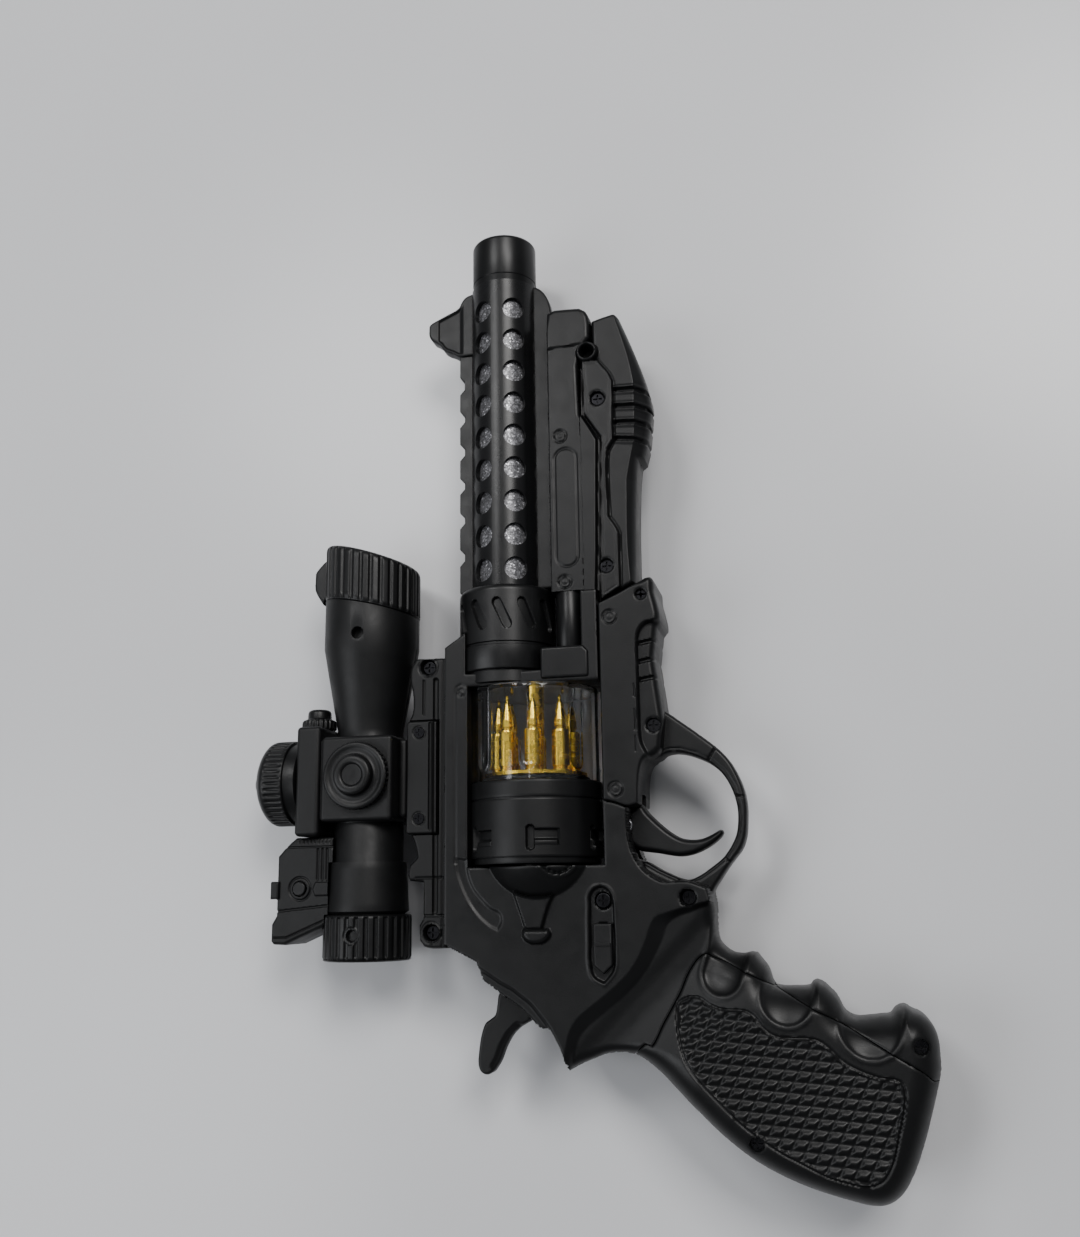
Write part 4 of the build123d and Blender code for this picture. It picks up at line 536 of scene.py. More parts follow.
def grip_field(X, Y):
    """height of the neck and grip before the edges roll off, and how wide and deep they roll"""
    s = (X - Y - 65.0) / 1.4142
    h = 10.2 - 1.0 * S(s, -1, 5) * (1 - S(s, 7, 18)) + 4.7 * S(s, 6, 34)
    rh = 3.2 + 5.6 * S(s, 6, 26)
    rv = 3.4 + 6.6 * S(s, 6, 26)
    return h, rh, rv


def side_height(X, Y, right):
    d_sil = silhouette(X, Y)
    d_grip = sdf(NECKGRIP, X, Y)
    da, db = sdf(NECK_A, X, Y), sdf(NECK_B, X, Y)
    w = np.where(da > 0, 0.0, np.where(db < 0, 1.0, -da / np.maximum(-da + db, 1e-6)))
    hg, rh, rv = grip_field(X, Y)
    # frame face and what stands on it
    hf = np.full(X.shape, 12.5)
    hf -= 1.3 * S(-sdf(HLOW, X, Y), -0.3, 1.3)
    hf -= 0.50 * inn(sdf(CRESCENT, X, Y), 1.2)
    strip = line_dist([(-24.4, 1.0), (-24.4, 54.6), (-23.9, 56.6), (-22.4, 57.4), (-20.9, 56.6)], X, Y)
    hf -= groove(strip, 0.34, 0.24)
    hf -= groove(np.abs(np.hypot(X + 22.4, Y - 54.7) - 1.1), 0.34, 0.28)
    rr = np.maximum(21.0 ** 2 - (X - 2.0) ** 2 - (Y - 6.5) ** 2, 0)
    shield = np.sqrt(rr)
    dr = np.hypot(X - 9.2, Y - 2.2)
    teeth = 0.5 + 0.5 * np.cos(18 * np.arctan2(Y - 2.2, X - 9.2))
    shield = shield - 1.0 * inn(dr - 5.0, 0.4) + 0.30 * np.exp(-((dr - 6.1) / 0.32) ** 2)
    shield = shield - 0.55 * teeth * inn(np.abs(dr - 4.7) - 0.55, 0.3)
    hf = np.maximum(hf, shield - 0.12)
    hf += 1.5 * inn(sdf(THUMB, X, Y), 0.7) * (hf < 13.3)
    dk = sdf(TKNOB, X, Y)
    hf = np.maximum(hf, rolled(np.full(X.shape, 14.2), np.minimum(dk, 0), 1.6, 1.9) * (dk < 0))
    h = hf * (1 - w) + hg * w
    roll_h = 0.9 + (rh - 0.9) * w
    roll_v = 0.9 + (rv - 0.9) * w
    # scallops under the fingers
    for (cx, cy), r in SCALLOPS:
        ux, uy = X - cx, Y - cy
        along = np.clip(ux * SCALLOP_DIR[0] + uy * SCALLOP_DIR[1], 0, 30)
        dist = np.hypot(ux - along * SCALLOP_DIR[0], uy - along * SCALLOP_DIR[1])
        deep = 1.55 + 0.10 * np.minimum(along, 10)
        h = h - deep * np.sqrt(np.clip(1 - (dist / r) ** 2, 0, 1)) * w
        h = h + 0.22 * np.exp(-((dist - r - 0.9) / 0.6) ** 2) * w
    h = rolled(h, np.minimum(d_sil, 0), roll_h, roll_v)
    # guard band
    dg = sdf(GUARD, X, Y)
    hgd = rolled(np.full(X.shape, 4.5), np.minimum(dg, 0), 1.2, 1.3)
    inner = line_dist(GUARD_IN, X, Y)
    hgd = hgd - 0.35 * np.exp(-((inner - 1.25) / 0.28) ** 2)
    for (ax, ay), (bx, by) in (((53.6, 29.2), (57.4, 35.0)), ((61.2, 20.0), (67.0, 19.0)), ((58.0, 1.6), (62.4, -2.2))):
        hgd = hgd - groove(line_dist([(ax, ay), (bx, by)], X, Y), 0.35, 0.5)
    h = np.where(d_sil < 0.0, np.maximum(h, hgd * (dg < 0)), hgd)
    # checkered panel
    dc = sdf(CHECK, X, Y)
    h = h - groove(np.abs(dc), 0.42, 0.55)
    ax, ay, bx, by = 3.86, -0.27, -1.6, -2.9
    det = ax * by - ay * bx
    u = ((X - 60.0) * by - (Y + 60.0) * bx) / det
    v = (ax * (Y + 60.0) - ay * (X - 60.0)) / det
    tu, tv = 1 - np.abs(2 * (u % 1.0) - 1), 1 - np.abs(2 * (v % 1.0) - 1)
    tooth = np.minimum(np.minimum(tu * 1.6, tv), 0.86)
    h = h - 0.95 * (0.86 - tooth) * inn(dc + 0.9, 0.7)
    # screws
    if right:
        for (x, y, seat), r in zip((FRAME_SCREWS[0], FRAME_SCREWS[1], FRAME_SCREWS[4], (64.2, -77.9, 9.0)),
                                   (2.45, 2.3, 1.85, 1.85)):
            t = inn(circle(x, y, r, X, Y), 0.34)
            h = h * (1 - t) + np.minimum(h, seat) * t
            h = h - 0.2 * np.exp(-((np.hypot(X - x, Y - y) - r - 0.3) / 0.3) ** 2)
        dsw = sdf(SWITCH, X, Y)
        h = h - 1.2 * inn(dsw, 0.5) * (1 - inn(circle(22.0, -10.9, 2.6, X, Y), 0.34))
        h = h + 0.25 * np.exp(-((dsw - 0.7) / 0.4) ** 2) * (Y < -6)
        t = inn(rectd(20.6, -28.6, 23.2, -17.4, X, Y), 0.3)
        h = h * (1 - t) + np.minimum(h, 10.9) * t
    else:
        sx, sy = -12.8, -18.6
        for k in range(7):
            a = math.radians(60 * k)
            cx, cy = (sx, sy) if k == 6 else (sx + 4.4 * math.cos(a), sy + 4.4 * math.sin(a))
            h = h - 1.4 * inn(circle(cx, cy, 0.9, X, Y), 0.36)
        h = h - groove(np.abs(circle(sx, sy, 6.9, X, Y)), 0.35, 0.4)
    return np.maximum(h, 1.0)


def side_bottom(X, Y):
    z = np.zeros(X.shape)
    for x0, y0, x1, y1, zz in ((-12.2, -7.4, 16.6, -2.4, 11.0), (3.7, -31.2, 20.1, -7.3, 6.35),
                               (18.6, -30.0, 25.2, -16.0, 10.0), (23.2, -8.4, 30.4, -1.8, 3.3)):
        z = np.maximum(z, zz * (rectd(x0, y0, x1, y1, X, Y) < 0))
    z = np.maximum(z, 10.0 * (sdf(SOUND_BAY, X, Y) < 0))
    z = np.maximum(z, 5.6 * inn(sdf(BAY, X, Y), 0.4))
    z = np.maximum(z, 3.95 * (sdf([(26.5, 15.2), (31.0, 19.4), (36.0, 19.4), (36.0, 0.7), (30.6, 1.6), (25.5, 8.6)], X, Y) < 0.1))
    z = np.maximum(z, 3.95 * (circle(28.0, 11.5, 3.8, X, Y) < 0.1))
    z = np.maximum(z, 3.65 * (sdf([(-8.4, -33.4), (-22.0, -30.0), (-22.0, -50.0), (2.4, -52.0), (2.2, -36.0)], X, Y) < 0.1))
    z = np.maximum(z, 3.65 * (circle(-3.0, -37.0, 4.7, X, Y) < 0.1))
    z = np.maximum(z, 7.2 * (circle(28.0, 11.5, 3.4, X, Y) < 0))
    z = np.maximum(z, 7.1 * (circle(-3.0, -37.0, 4.0, X, Y) < 0))
    drum = np.sqrt(np.clip(21.75 ** 2 - (X + 1.0) ** 2, 0, None)) * ((Y > -0.25) & (Y < 56.45))
    hub = np.sqrt(np.clip(6.4 ** 2 - (X + 1.0) ** 2, 0, None)) * ((Y > -3.1) & (Y < 0.1))
    collar = np.sqrt(np.clip(16.05 ** 2 - (X + 10.0) ** 2, 0, None)) * (Y > 57.0)
    return np.maximum(np.maximum(z, drum), np.maximum(hub, collar))


def right_outline(X, Y):
    d = np.minimum(silhouette(X, Y), sdf(GUARD, X, Y))
    d = np.maximum(d, -(sdf(COVER, X, Y) - 0.12))
    return d


def left_outline(X, Y):
    return np.minimum(silhouette(X, Y), sdf(GUARD, X, Y))


def cover_outline(X, Y):
    return np.maximum(sdf(NECKGRIP, X, Y), sdf(COVER, X, Y) + 0.12)


def seam_roll(h, d):
    return rolled(h, np.minimum(d, 0), 0.45, 0.45)


relief("frame_shell_right", "frame", "shell_black", ["frame_right_shell"], right_outline,
       lambda X, Y: side_height(X, Y, True) - groove(np.maximum(-right_outline(X, Y), 0), 0.35, 0.0) -
       0.3 * np.exp(-(np.abs(sdf(COVER, X, Y)) / 0.3) ** 2),
       side_bottom, (-28.6, -61.0, 116.2, 86.4))
relief("frame_shell_left", "frame", "shell_black", ["frame_left_shell"], left_outline,
       lambda X, Y: side_height(X, Y, False), side_bottom, (-28.6, -94.6, 116.2, 86.4), side=-1)
relief("battery_cover", "battery_cover", "grip_black", ["grip_battery_cover"], cover_outline,
       lambda X, Y: side_height(X, Y, True) - 0.3 * np.exp(-(np.abs(sdf(COVER, X, Y)) / 0.3) ** 2),
       side_bottom, (30.0, -94.6, 116.2, -26.0))


# fore-end of the frame
FORE = spline([(22.9, 81.3), (30.3, 84.5), (36.6, 87.8), (38.4, 88.8), (39.8, 88.9), (40.6, 87.9), (40.9, 84.0),
               (41.9, 79.5), (42.4, 75.8), (41.9, 73.6), (41.1, 72.6), (41.1, 34.6), (39.8, 32.8), (38.0, 31.9),
               (36.2, 31.2), (35.2, 29.8), (34.4, 27.2), (34.0, 24.0), (33.7, 17.6), (30.6, 16.9), (26.4, 18.3),
               (22.9, 19.1)], 4, True, 40)
FORE_PANEL = spline([(47.0, 74.6), (39.6, 74.3), (37.6, 73.8), (36.0, 72.3), (35.0, 69.6), (34.8, 60.0),
                     (34.8, 40.0), (35.1, 36.6), (36.4, 33.6), (38.2, 31.0), (47.0, 29.0)], 4, True, 60)


def screw_seat(h, X, Y, x, y, seat, r=2.55, lip=0.25):
    t = inn(circle(x, y, r, X, Y), 0.32)
    h = h * (1 - t) + np.minimum(h, seat) * t
    return h - lip * np.exp(-((np.hypot(X - x, Y - y) - r - 0.3) / 0.3) ** 2)


def ring_dot(h, X, Y, x, y, r=2.2):
    d = np.hypot(X - x, Y - y)
    return h - groove(np.abs(d - r), 0.34, 0.38) - groove(np.abs(d - r * 0.5), 0.42, 0.12)


def fore_height(X, Y, right):
    d = sdf(FORE, X, Y)
    h = np.full(X.shape, 12.5)
    dp = sdf(FORE_PANEL, X, Y)
    h = h - 2.1 * inn(dp, 0.9)
    for (x0, y0, x1, y1) in ((35.4, 67.6, 43.2, 69.0), (35.4, 61.8, 43.0, 63.2), (35.4, 56.0, 42.8, 57.2)):
        h = h - groove(line_dist([(x0, y0), (x1, y1)], X, Y), 0.75, 1.1) * inn(dp + 0.4, 0.6)
    for y0, y1 in ((33.6, 38.2), (40.2, 46.4), (50.6, 54.4)):
        h = h - groove(line_dist([(33.7, y0), (33.7, y1)], X, Y), 0.3, 0.35)
    if right:
        h = screw_seat(h, X, Y, 36.7, 83.2, 10.6, 1.55)
        h = screw_seat(h, X, Y, 39.0, 41.7, 8.2, 2.1)
    h = ring_dot(h, X, Y, 26.6, 76.4)
    h = ring_dot(h, X, Y, 27.0, 22.2)
    edge = S(X, 33.0, 39.0)
    return rolled(h, np.minimum(d, 0), 0.8 + 1.5 * edge, 0.8 + 1.9 * edge)


def fore_bottom(X, Y):
    z = np.zeros(X.shape)
    hollow = sdf([(25.2, 24.0), (31.6, 24.0), (31.6, 60.0), (35.4, 66.0), (35.4, 76.0), (25.2, 76.0)], X, Y)
    z = np.maximum(z, 9.0 * (hollow < 0))
    z = np.maximum(z, 3.95 * (rectd(28.6, 14.0, 37.0, 21.0, X, Y) < 0))
    return z


FORE_D = lambda X, Y: sdf(FORE, X, Y)
relief("foregrip_cover_right", "frame", "shell_black", ["foregrip_right"], FORE_D,
       lambda X, Y: fore_height(X, Y, True), fore_bottom, (22.4, 16.4, 43.2, 89.6), cell=0.26)
relief("foregrip_cover_left", "frame", "shell_black", ["foregrip_left"], FORE_D,
       lambda X, Y: fore_height(X, Y, False), fore_bottom, (22.4, 16.4, 43.2, 89.6), cell=0.34, side=-1)

# under-lug beside the barrel
LUG = spline([(7.1, 86.4), (18.35, 86.4), (18.35, 143.5), (18.3, 147.2), (18.0, 152.0), (18.0, 164.6), (18.6, 167.2), (20.5, 172.2), (22.2, 174.4), (22.3, 179.7),
              (21.9, 182.6), (20.9, 184.6), (18.6, 186.0), (14.0, 186.3), (9.7, 186.4), (7.1, 185.0)], 4, True, 14)
LUG_PLATE = spline([(-3.0, 89.7), (7.4, 89.7), (7.4, 188.0), (6.9, 191.8), (5.7, 195.6), (3.6, 198.6), (1.0, 200.2),
                    (-3.0, 201.2)], 4, True, 50)
PAD = [(12.9, 98.4), (12.9, 131.6)]
# the lug's face carries on over the lamp housing's inner strip, up to this edge
EDGE_L1 = [(22.0, 80.0), (22.0, 86.1), (22.6, 99.7), (23.2, 124.0), (23.6, 137.6), (21.1, 142.2), (18.4, 146.9)]
EDGE_L2 = [(23.6, 80.0), (23.7, 87.8), (24.3, 111.6), (25.1, 138.0), (19.6, 146.8), (19.2, 163.5)]
LUG_ROLL = [(7.1, 80.0)] + EDGE_L1 + [(18.0, 164.6), (18.6, 167.2), (20.5, 172.2), (22.2, 174.4), (22.3, 179.7),
                                      (21.9, 182.6), (20.9, 184.6), (18.6, 186.0), (14.0, 186.3), (9.7, 186.4),
                                      (7.1, 185.0)]


def lug_outline(X, Y):
    d = np.minimum(sdf(LUG, X, Y), sdf(LUG_PLATE, X, Y))
    return np.maximum(d, -circle(21.1, 168.8, 3.95, X, Y))


def lug_height(X, Y):
    dl = sdf(LUG, X, Y)
    hp = rolled(np.full(X.shape, 2.5), np.minimum(sdf(LUG_PLATE, X, Y), 0), 0.8, 0.8)
    h = np.full(X.shape, 10.0)
    # a thin skin on the right side runs slightly lower towards the channel
    edge = S(X, 12.0, 17.0)
    top = S(Y, 178.0, 185.0)
    k = np.maximum(edge, top)
    h = h - groove(line_dist([(6.0, 171.7), (18.8, 172.2)], X, Y), 0.34, 0.45)
    h = ring_dot(h, X, Y, 11.3, 139.8, 2.1)
    h = ring_dot(h, X, Y, 11.9, 89.6, 2.1)
    dpad = line_dist(PAD, X, Y) - 3.7
    h = h - groove(np.abs(dpad), 0.42, 0.34)
    roll = np.minimum(sdf(LUG_ROLL, X, Y), 0)
    h = rolled(h, roll, 0.8 + 1.1 * k, 0.8 + 1.2 * k)
    return np.where(dl < 0, h, hp)


def lug_bottom(X, Y):
    return np.sqrt(np.clip(11.55 ** 2 - (X + 10.0) ** 2, 0, None))


relief("lug_right", "frame", "shell_black", ["underlug_right"], lug_outline, lug_height, lug_bottom,
       (-3.4, 86.0, 22.9, 201.8), cell=0.3)
relief("lug_left", "frame", "shell_black", ["underlug_left"], lug_outline, lug_height, lug_bottom,
       (-3.4, 86.0, 22.9, 201.8), cell=0.36, side=-1)

# lamp housing in front of the fore-end
LIGHT = spline([(18.2, 86.4), (22.9, 86.4), (22.9, 82.7), (34.6, 88.0), (34.9, 96.0), (35.1, 106.0), (35.6, 118.0),
                (36.3, 127.6), (36.7, 130.4), (38.5, 131.0), (39.4, 134.0), (40.1, 137.4), (40.8, 142.6),
                (41.4, 148.0), (41.4, 150.6), (40.5, 154.9), (39.3, 160.0), (37.4, 166.0), (35.2, 172.3),
                (33.2, 177.6), (31.8, 181.2), (30.9, 182.3), (29.8, 182.6), (26.0, 181.8), (22.5, 180.8),
                (22.5, 172.0), (20.5, 171.8), (18.2, 165.6)], 4, True, 14)
FACET = np.concatenate([spline([(33.4, 84.0), (32.5, 101.0), (32.9, 123.0), (34.2, 129.6), (35.7, 136.0),
                                (36.2, 146.0), (36.2, 157.2), (34.8, 165.2), (32.7, 173.6), (30.8, 180.0),
                                (30.2, 184.0)], 4, False, 5), [(50.0, 184.0), (50.0, 84.0)]])
SCREW_PLATE = spline([(19.3, 163.5), (19.6, 146.8), (25.1, 138.0), (24.3, 111.6), (23.7, 87.8), (23.6, 82.6),
                      (29.9, 86.4), (30.0, 104.6), (29.0, 107.0), (26.9, 110.4), (26.7, 129.6), (27.1, 133.4),
                      (29.1, 136.6), (29.4, 157.6), (28.2, 160.6), (25.4, 164.4), (24.6, 165.6), (19.3, 165.6)],
                     4, True, 10)
FINS = ((154.6, 153.7), (148.8, 147.8), (143.1, 142.0), (137.4, 135.9))


def light_outline(X, Y):
    d = np.minimum(sdf(LIGHT, X, Y), circle(21.1, 168.8, 3.55, X, Y))
    for a, b in FINS:
        d = np.maximum(d, 0.75 - line_dist([(40.2, b + 0.1), (46.0, b - 0.9)], X, Y))
    return d


def light_height(X, Y, right):
    d = sdf(LIGHT, X, Y)
    h = np.full(X.shape, 9.0)
    df = sdf(FACET, X, Y)
    h = h - 1.0 * np.clip(-df, 0, 6)
    for a, b in FINS:
        dist = line_dist([(29.9, a), (36.5, b + 0.6), (43.0, b - 0.2)], X, Y)
        h = h - groove(dist, 0.8, 1.3) + 0.25 * np.exp(-((dist - 1.2) / 0.5) ** 2) * (X > 29.6)
    h = rolled(h, np.minimum(d, 0), 1.4, 1.6)
    # strip that carries the lug's face on, and the lip between it and the screw plate
    t = inn(sdf([(16.0, 80.0)] + EDGE_L1 + [(16.0, 150.0)], X, Y), 0.3)
    strip = rolled(np.full(X.shape, 9.93), np.minimum(sdf(LUG_ROLL, X, Y), 0), 0.8, 0.9)
    lip = inn(sdf(EDGE_L1 + [(18.1, 164.0)] + EDGE_L2[::-1], X, Y), 0.4)
    h = h * (1 - lip) + 8.3 * lip
    h = h * (1 - t) + strip * t
    dp = sdf(SCREW_PLATE, X, Y)
    t = inn(dp, 0.5)
    plate = rolled(np.full(X.shape, 10.6), np.minimum(dp, 0), 0.55, 0.45) - groove(np.abs(dp + 1.15), 0.16, 0.12)
    h = h * (1 - t) + np.maximum(h, plate) * t
    h = h - 0.3 * np.exp(-((dp - 0.45) / 0.3) ** 2)
    if right:
        h = screw_seat(h, X, Y, 24.2, 151.8, 7.6, 2.3)
        h = screw_seat(h, X, Y, 25.7, 93.9, 7.6, 2.1)
    r = np.hypot(X - 21.1, Y - 168.8)
    t = inn(r - 3.7, 0.4)
    boss = 11.6 - 1.1 * ((r - 2.9) / 0.8) ** 2
    boss = np.where(r < 2.9, 11.6 - 1.6 * np.clip((2.9 - r) / 0.8, 0, 1) ** 2, boss)
    boss = np.where(r < 2.1, 6.2, boss)
    h = h * (1 - t) + np.maximum(boss, 6.2) * t
    return np.maximum(h, 1.2)


def light_bottom(X, Y):
    a = np.sqrt(np.clip(5.25 ** 2 - (X - 27.6) ** 2, 0, None)) * (Y > 173.8)
    b = np.sqrt(np.clip(4.05 ** 2 - (X - 27.6) ** 2, 0, None)) * ((Y > 157.8) & (Y < 175.2))
    return np.maximum(a, b)


relief("lamp_housing_right", "frame", "shell_black", ["light_housing_right"], light_outline,
       lambda X, Y: light_height(X, Y, True), light_bottom, (17.6, 82.0, 42.0, 183.2), cell=0.28)
relief("lamp_housing_left", "frame", "shell_black", ["light_housing_left"], light_outline,
       lambda X, Y: light_height(X, Y, False), light_bottom, (17.6, 82.0, 42.0, 183.2), cell=0.34, side=-1)

# trigger, hammer and front sight: both faces rounded alike
TRIGGER = spline([(28.0, 14.9), (30.2, 16.9), (32.0, 18.2), (33.0, 18.3), (35.4, 15.4), (38.9, 11.9), (42.6, 8.9),
                  (45.4, 7.4), (48.1, 6.9), (51.0, 7.0), (53.4, 7.7), (55.6, 8.8), (57.2, 9.6), (58.0, 9.5),
                  (58.2, 8.7), (56.9, 6.9), (54.4, 5.0), (51.4, 3.4), (48.6, 2.4), (44.8, 1.9), (41.0, 2.4),
                  (38.0, 3.0), (35.0, 3.4), (32.6, 3.8), (31.0, 4.5), (28.0, 8.1)], 4, True, 60)
HAMMER = spline([(-5.5, -33.6), (-9.4, -36.0), (-13.2, -38.5), (-13.9, -41.6), (-14.6, -44.9), (-16.2, -46.2),
                 (-17.6, -47.2), (-18.5, -49.0), (-19.2, -51.4), (-19.9, -56.0), (-20.1, -59.2), (-19.4, -61.3),
                 (-18.2, -62.2), (-16.8, -62.3), (-15.4, -61.5), (-14.2, -60.0), (-12.9, -57.8), (-11.9, -55.2),
                 (-10.6, -52.7), (-9.0, -50.4), (-7.1, -48.7), (-5.2, -47.5), (-3.2, -46.3), (0.0, -40.0)],
                4, True, 60)
SIGHT = spline([(-20.6, 200.2), (-22.2, 199.9), (-24.0, 199.1), (-25.4, 197.3), (-26.4, 195.4), (-30.0, 193.6),
                (-33.7, 192.0), (-36.4, 190.7), (-37.2, 190.0), (-37.5, 188.0), (-37.3, 185.8), (-36.2, 184.0),
                (-34.8, 183.0), (-33.3, 181.9), (-32.2, 180.2), (-31.0, 179.2), (-28.6, 178.0), (-26.2, 176.6),
                (-20.6, 176.3)], 4, True, 50)


def trigger_outline(X, Y):
    d = np.minimum(sdf(TRIGGER, X, Y), circle(28.0, 11.5, 3.4, X, Y))
    return np.maximum(d, -circle(28.0, 11.5, 1.27, X, Y))


def trigger_height(X, Y):
    d = np.minimum(sdf(TRIGGER, X, Y), circle(28.0, 11.5, 3.4, X, Y))
    return rolled(np.full(X.shape, 3.5), np.minimum(d, 0), 1.7, 2.3)


def hammer_outline(X, Y):
    d = np.minimum(sdf(HAMMER, X, Y), circle(-3.0, -37.0, 4.2, X, Y))
    return np.maximum(d, -circle(-3.0, -37.0, 1.57, X, Y))


def hammer_height(X, Y):
    d = np.minimum(sdf(HAMMER, X, Y), circle(-3.0, -37.0, 4.2, X, Y))
    h = rolled(np.full(X.shape, 3.1), np.minimum(d, 0), 0.9, 1.0)
    # spur thins towards its right edge
    back = spline([(-14.2, -60.0), (-12.9, -57.8), (-11.9, -55.2), (-10.6, -52.7), (-9.0, -50.4), (-7.1, -48.7)],
                  4, False)
    return h - 1.0 * (1 - S(line_dist(back, X, Y), 0.8, 2.2)) * 0.9


def sight_height(X, Y):
    d = sdf(SIGHT, X, Y)
    h = rolled(np.full(X.shape, 3.0), np.minimum(d, 0), 0.8, 0.9)
    return h - 0.75 * S(X, -33.9, -33.3) * (1 - S(X, -26.2, -24.2)) * inn(d + 1.0, 0.8)


relief("trigger_lever", "trigger", "trim_black", ["trigger"], trigger_outline, trigger_height,
       lambda X, Y: -trigger_height(X, Y), (24.2, 1.2, 59.0, 19.2), cell=0.22)
relief("hammer_spur", "hammer", "trim_black", ["hammer"], hammer_outline, hammer_height,
       lambda X, Y: -hammer_height(X, Y), (-21.0, -63.2, 2.2, -32.2), cell=0.24)
relief("sight_blade", "frame", "trim_black", ["front_sight"], lambda X, Y: sdf(SIGHT, X, Y), sight_height,
       lambda X, Y: -sight_height(X, Y), (-38.2, 175.6, -20.0, 201.0), cell=0.24)


# ---------------------------------------------------------------- turned pieces
def turned(name, body, slot, nodes, profile, cx, cz, count, shape=None, sharp=40, mat=None):
    """closed ring of revolution about a line along +Y; profile is a loop of (y, r), shape(theta, y, r) bends it"""
    p = np.asarray(profile, float)
    th = np.linspace(0, 2 * math.pi, count, endpoint=False)
    T, Yv = np.meshgrid(th, p[:, 0], indexing="ij")
    R = np.broadcast_to(p[:, 1], T.shape).copy()
    Yv = Yv.copy()
    if shape is not None:
        Yv, R = shape(T, Yv, R)
    v = np.stack([cx - OX + R * np.sin(T), Yv - OY, AZ + cz + R * np.cos(T)], -1).reshape(-1, 3) * MM
    m = len(p)
    i = np.arange(count)[:, None]
    j = np.arange(m)[None, :]
    a = i * m + j
    b = ((i + 1) % count) * m + j
    c = ((i + 1) % count) * m + (j + 1) % m
    d = i * m + (j + 1) % m
    f = np.stack([a, b, c, d], -1).reshape(-1, 4)
    # area of the loop in (y, r) tells which way the faces look
    area = 0.5 * np.sum(p[:, 0] * np.roll(p[:, 1], -1) - np.roll(p[:, 0], -1) * p[:, 1])
    if area < 0:
        f = f[:, ::-1]
    me = bpy.data.meshes.new(name)
    me.from_pydata(v.tolist(), [], f.tolist())
    me.update()
    me.polygons.foreach_set("use_smooth", [True] * len(me.polygons))
    me.set_sharp_from_angle(angle=math.radians(sharp))
    o = bpy.data.objects.new(name, me)
    bpy.context.scene.collection.objects.link(o)
    o.data.materials.append(mat or M[slot])
    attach(o, body)
    if nodes:
        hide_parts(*nodes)
    return o


def steps(y0, y1, r, pitch):
    n = max(1, int(round(abs(y1 - y0) / pitch)))
    return [(y0 + (y1 - y0) * k / n, r) for k in range(n + 1)]


def corner(y, r, size, sy, sr, n=4):
    """quarter round between a wall at r and a face at y; sy, sr point from the corner into the body"""
    out = []
    for k in range(n + 1):
        a = math.pi / 2 * k / n
        out.append((y + sy * size * (1 - math.sin(a)), r + sr * size * (1 - math.cos(a))))
    return out


def wrap(a):
    return (a + math.pi) % (2 * math.pi) - math.pi


# rear half of the drum: six stop notches with an oval slot at the leading end
DRUM_X, DRUM_R = -1.0, 21.285


def drum_shape(T, Yv, R):
    outer = R > 19.9
    dy = Yv - 8.0
    depth = np.zeros(T.shape)
    for k in range(6):
        t = wrap(T - math.radians(20 + 60 * k)) * DRUM_R        # arc length, + towards the grip side
        oval = np.hypot(t + 4.4, np.maximum(np.abs(dy) - 2.4, 0)) - 1.3
        chan = np.maximum(np.abs(t - 0.4) - 4.2, np.abs(dy - 0.1) - 2.4)
        bar = np.maximum(np.abs(t - 0.5) - 3.9, np.abs(dy + 1.45) - 0.85)
        depth = np.maximum(depth, 1.9 * inn(oval, 0.45))
        depth = np.maximum(depth, 1.5 * inn(chan, 0.45) - 1.15 * inn(bar, 0.9))
    return Yv, np.where(outer, R - depth, R)


def drum_profile():
    p = [(0.4, 6.0), (0.4, 20.2)] + [(0.9, 20.4), (2.2, 20.4)]
    p += corner(2.2, DRUM_R, 0.3, 1, -1)[::1] + steps(2.7, 19.5, DRUM_R, 0.22)
    p += [(19.75, DRUM_R - 0.1), (19.8, DRUM_R - 0.5), (20.3, DRUM_R - 0.5), (20.35, DRUM_R - 0.1)]
    p += steps(20.6, 25.2, DRUM_R, 0.6) + [(25.5, DRUM_R - 0.1), (25.68, DRUM_R - 0.35), (25.7, 17.4), (27.2, 17.4), (27.2, 14.0), (25.7, 14.0), (25.7, 1.56),
                                           (-2.45, 1.56), (-2.45, 6.0)]
    return p


turned("drum_rear", "drum", "trim_black", ["drum_body"], drum_profile(), DRUM_X, 0.0, 600, drum_shape, sharp=45)

# clear front of the drum: even wall that follows the flutes
CLEAR_OUT, CLEAR_WALL = 20.9, 1.15


def flute_depth(T, Yv):
    """how far the flute surface lies inside the plain radius"""
    best = np.full(T.shape, CLEAR_OUT)
    y0 = 31.7
    for k in range(8):
        t = wrap(T - math.radians(7 + 45 * k))
        rr = 4.6 ** 2 - np.where(Yv < y0, (y0 - Yv) ** 2, 0)
        disc = rr - (24.2 * np.sin(t)) ** 2
        ok = (disc > 0) & (np.abs(t) < 0.5)
        r = 24.2 * np.cos(t) - np.sqrt(np.maximum(disc, 0))
        best = np.where(ok, np.minimum(best, r), best)
    d = CLEAR_OUT - best
    return np.sqrt(d * d + 0.04) - 0.2


def clear_shape(T, Yv, R):
    side = R > 17.5
    return Yv, np.where(side, R - flute_depth(T, Yv), R)


